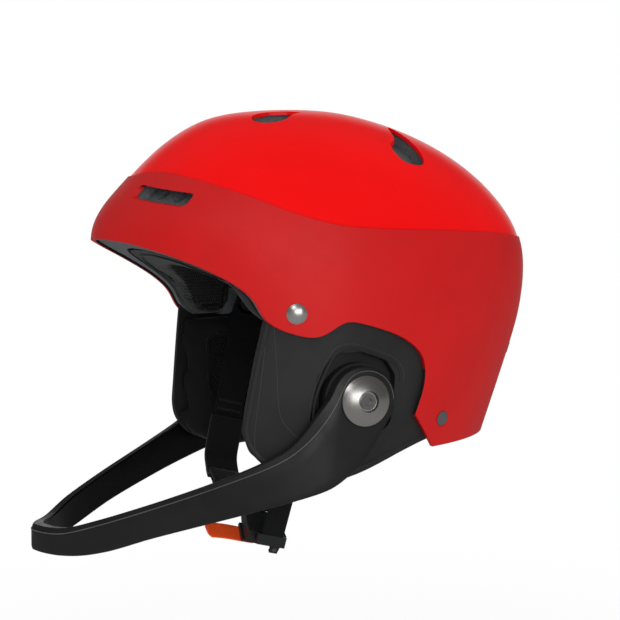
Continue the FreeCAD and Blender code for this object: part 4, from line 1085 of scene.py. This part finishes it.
def buckle_place(along, depth, y):
    """Point beside the buckle: along the strap, away from the ring, and in Y from the strap's middle."""
    return (ring_x + along * math.cos(buckle_middle) - depth * math.sin(buckle_middle), anchor_y + y,
            ring_z - along * math.sin(buckle_middle) - depth * math.cos(buckle_middle))


def make_tab():
    """Folded woven tab with a bound, slanting free end."""
    half, near, thick, length = 6.0, 41.3, 1.5, 30.0
    rows, columns = 30, 12
    points, faces, uv = [], [], []
    for layer in (0, 1):
        for i in range(rows + 1):
            s = i / rows
            for k in range(columns + 1):
                t = 2 * k / columns - 1
                y = -5.0 - length * s
                slant = 2.6 * max(0.0, s - 0.8) / 0.2 * (t + 1) / 2
                round_off = 2.0 * max(0.0, s - 0.86) / 0.14 * t ** 4
                curl = 0.9 * s ** 3 + 0.25 * math.sin(s * 9.0) * s
                edge = 0.3 * (t ** 6)
                depth = near + curl + (thick - edge if layer else edge)
                points.append(buckle_place(half * t, depth, y + slant + round_off))
                uv.append(((s * length + 40 * layer) * MM, half * t * MM))
    n = columns + 1
    size = (rows + 1) * n
    for i in range(rows):
        for k in range(columns):
            a, b = i * n + k, (i + 1) * n + k
            faces.append((a, b, b + 1, a + 1))
            faces.append((size + a, size + a + 1, size + b + 1, size + b))
    for i in range(rows):
        for k in (0, columns):
            a, b = i * n + k, (i + 1) * n + k
            faces.append((a, size + a, size + b, b) if k == 0 else (a, b, size + b, size + a))
    for i in (0, rows):
        for k in range(columns):
            a = i * n + k
            faces.append((a, a + 1, size + a + 1, size + a) if i == 0 else (a + 1, a, size + a, size + a + 1))
    piece = mesh_object("pull_tab", leaned(points), faces, tab_cloth)
    point_uv(piece, uv)
    piece.data.set_sharp_from_angle(angle=math.radians(50))
    return piece


tab = keep(make_tab(), "buckle_lever", "tab_orange")
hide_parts("release_tab")


def strap_stitches(name, place, width, from_s, to_s, body):
    """Zigzag bar of stitching across a strap."""
    turns = 24
    zigzag = leaned([place(from_s + (to_s - from_s) * (k % 2), -width / 2 + width * k / turns)
                     for k in range(turns + 1)])
    ahead = Vector(zigzag[-1]) - Vector(zigzag[0])
    across = Vector(zigzag[1]) - Vector(zigzag[0])
    facing = tuple(ahead.cross(across).normalized())
    return keep(tube(name, zigzag, 0.00032, thread, sides=6, facing=facing), body, "webbing")


slope_angle = math.atan2(anchor_x - ring_x, 107.0 - 9.0)


def strap_face(sign, face):
    """Place on a strap's outer (1) or inner (-1) face: s millimetres above the ring, and across the strap."""
    def place(s, across):
        x = ring_x + s * math.sin(slope_angle) + face * (strap_thickness / 2 + 0.1) * math.cos(slope_angle)
        z = ring_z + s * math.cos(slope_angle) - face * 0.9 * math.sin(slope_angle)
        return (sign * x, anchor_y + across, z)
    return place


for number, height in enumerate((9.0, 15.0)):
    for face, label in ((1, "outside"), (-1, "inside")):
        for (side, sign), lift in zip(sides, (0, 22)):
            strap_stitches("bar_tack_%s_%d_%s" % (side, number, label), strap_face(sign, face), 17.0,
                           height + lift, height + lift + 1.8, "chin_strap")


# ======== Ear guard details ========

guard_edge_line = [(-59.3, 4), (-63.2, -20), (-67.2, -50), (-68.7, -66), (-65.0, -76.6), (-54, -86.4), (-30, -93.8),
                   (-8, -89.6), (21, -78.4), (36, -73.4), (50, -69.8)]
contour_line = [(-57.8, -3), (-57.2, -9), (-55.2, -29), (-53.5, -50.7), (-49.9, -61.2), (-39.9, -70.6), (-24, -79),
                (-6, -81)]
ridge_line = [(-60.6, -2), (-61.3, -9), (-63.1, -38), (-65.3, -70), (-62.4, -80.6), (-57, -84.4), (-44, -88.2)]
rim_line = [(-36.6, -62), (-36.5, -51.6), (-34.4, -40), (-28.2, -24), (-22.8, -16.4), (-13.6, -14.6), (-1.6, -17.6),
            (13.4, -23.4), (20.6, -30.5), (21.2, -38)]
recess_line = [(-34.5, -60), (-34.3, -51.4), (-32.3, -41), (-26.2, -25.5), (-21.3, -19.0), (-13.5, -17.4), (-2, -20.2),
               (12, -25.6), (18.3, -31.5), (18.8, -38)]


def surface_bead(name, line, inset, sign, radius, flat, count, finish=ear_plastic):
    """Bead over a line, given in y and z in millimetres, on the ear guard's outer face."""
    path = [(sign * skin_x(y, z, inset) * MM, y * MM, z * MM) for y, z in smooth_path(line, count)]
    piece = tube(name, path, radius * MM, finish, sides=12, flat=flat, facing=(sign, 0.0, 0.0))
    return keep(piece, "helmet", "ear_guard_black")


# The ridge, contour and rim beads take the lighter plastic, which paints their highlight lines.
proud = guard_face_inset + 0.1
for side, sign in sides:
    surface_bead("ear_guard_edge_" + side, guard_edge_line, guard_face_inset + 0.5, sign, 2.3, 0.55, 120)
    surface_bead("ear_guard_ridge_" + side, ridge_line, proud, sign, 0.45, 0.8, 90, ridge_painted_highlight)
    surface_bead("ear_guard_contour_" + side, contour_line, proud, sign, 0.40, 0.8, 90, ridge_painted_highlight)
    surface_bead("recess_lip_" + side, recess_line, proud, sign, 0.9, 0.7, 90)
    surface_bead("recess_rim_" + side, rim_line, proud, sign, 0.35, 0.8, 90, ridge_painted_highlight)


# ======== Stage, light and camera ========

def flat_object(name, corners, material):
    data = bpy.data.meshes.new(name)
    data.from_pydata(corners, [], [(0, 1, 2, 3)])
    data.materials.append(material)
    made = add_object(name, data)
    return made


def floor_material():
    """Pale floor that reads as plain white and keeps a faint shadow."""
    material, tree, shader = new_material("floor_white")
    output = tree.nodes["Material Output"]
    set_inputs(shader, Base_Color=(0.86, 0.86, 0.86, 1), Roughness=0.9, Specular_IOR_Level=0.0)
    rays = tree.nodes.new("ShaderNodeLightPath")
    camera_ray = rays.outputs["Is Camera Ray"]
    glow = node(tree, "ShaderNodeEmission", Color=(1, 1, 1, 1))
    link_inputs(tree, glow, Strength=remap(tree, camera_ray, 0.0, 1.0, 0.22, 1.0, smooth=False))
    seen = math_node(tree, "MAXIMUM", camera_ray, rays.outputs["Is Glossy Ray"])
    reach = vector_value(tree, "LENGTH", coordinates(tree))
    share = math_node(tree, "MULTIPLY", seen, remap(tree, reach, 0.35, 0.8, 0.9, 1.0))
    mix = tree.nodes.new("ShaderNodeMixShader")
    for socket, value in zip(mix.inputs, (share, shader.outputs[0], glow.outputs[0])):
        tree.links.new(value, socket)
    tree.links.new(mix.outputs[0], output.inputs["Surface"])
    return material


floor_z = -0.30
backdrop_direction = (-0.93, 0.366, 0.0)
floor_reach = 6.0
corners = [(x * floor_reach, y * floor_reach, floor_z) for x, y in ((-1, -1), (1, -1), (1, 1), (-1, 1))]
flat_object("floor", corners, floor_material())


def set_world(low, high, dark):
    """White where the camera sees it and where gloss points at the backdrop; soft light from above for the rest."""
    world = bpy.data.worlds.new("studio")
    scene.world = world
    world.use_nodes = True
    tree = world.node_tree
    background = tree.nodes["Background"]
    set_inputs(background, Color=(1, 1, 1, 1))
    direction = coordinates(tree, "Generated")
    parts = tree.nodes.new("ShaderNodeSeparateXYZ")
    link_inputs(tree, parts, Vector=direction)
    fill = remap(tree, parts.outputs["Z"], -0.6, 0.9, low, high)
    away = vector_value(tree, "DOT_PRODUCT", direction, backdrop_direction)
    gloss = remap(tree, away, 0.76, 1.0, dark, 1.0)
    rays = tree.nodes.new("ShaderNodeLightPath")
    shiny = math_node(tree, "MAXIMUM", rays.outputs["Is Glossy Ray"], rays.outputs["Is Transmission Ray"])
    strength = fill
    for test, value in ((shiny, gloss), (rays.outputs["Is Camera Ray"], None)):
        pick = node(tree, "ShaderNodeMix", B=1.0)
        link_inputs(tree, pick, Factor=test, A=strength)
        if value is not None:
            link_inputs(tree, pick, B=value)
        strength = pick.outputs["Result"]
    link_inputs(tree, background, Strength=strength)


def softbox(name, place, target, width, height, power):
    lamp = bpy.data.lights.new(name, "AREA")
    lamp.shape = "RECTANGLE"
    lamp.size = width
    lamp.size_y = height
    lamp.energy = power
    made = add_object(name, lamp)
    made.location = place
    made.rotation_euler = (Vector(target) - Vector(place)).to_track_quat("-Z", "Y").to_euler()
    return made


def add_camera():
    data = bpy.data.cameras.new("camera")
    data.lens = camera_lens
    data.sensor_width = sensor_width
    data.sensor_fit = "HORIZONTAL"
    data.clip_start = 0.02
    made = add_object("camera", data)
    around, up = math.radians(camera_azimuth), math.radians(camera_elevation)
    towards = Vector((math.sin(around) * math.cos(up), -math.cos(around) * math.cos(up), math.sin(up)))
    made.location = towards * camera_distance
    made.rotation_euler = (-towards).to_track_quat("-Z", "Y").to_euler()
    scene.camera = made


set_world(0.05, 0.86, 0.08)
softbox("key_light", (1.40, -0.16, 0.16), (0, 0, 0), 0.95, 0.58, 4.6)
softbox("cap_light", (1.0, -0.75, 0.75), (0.1, 0, -0.04), 0.45, 0.45, 1.7)
add_camera()
scene.view_settings.view_transform = "Standard"
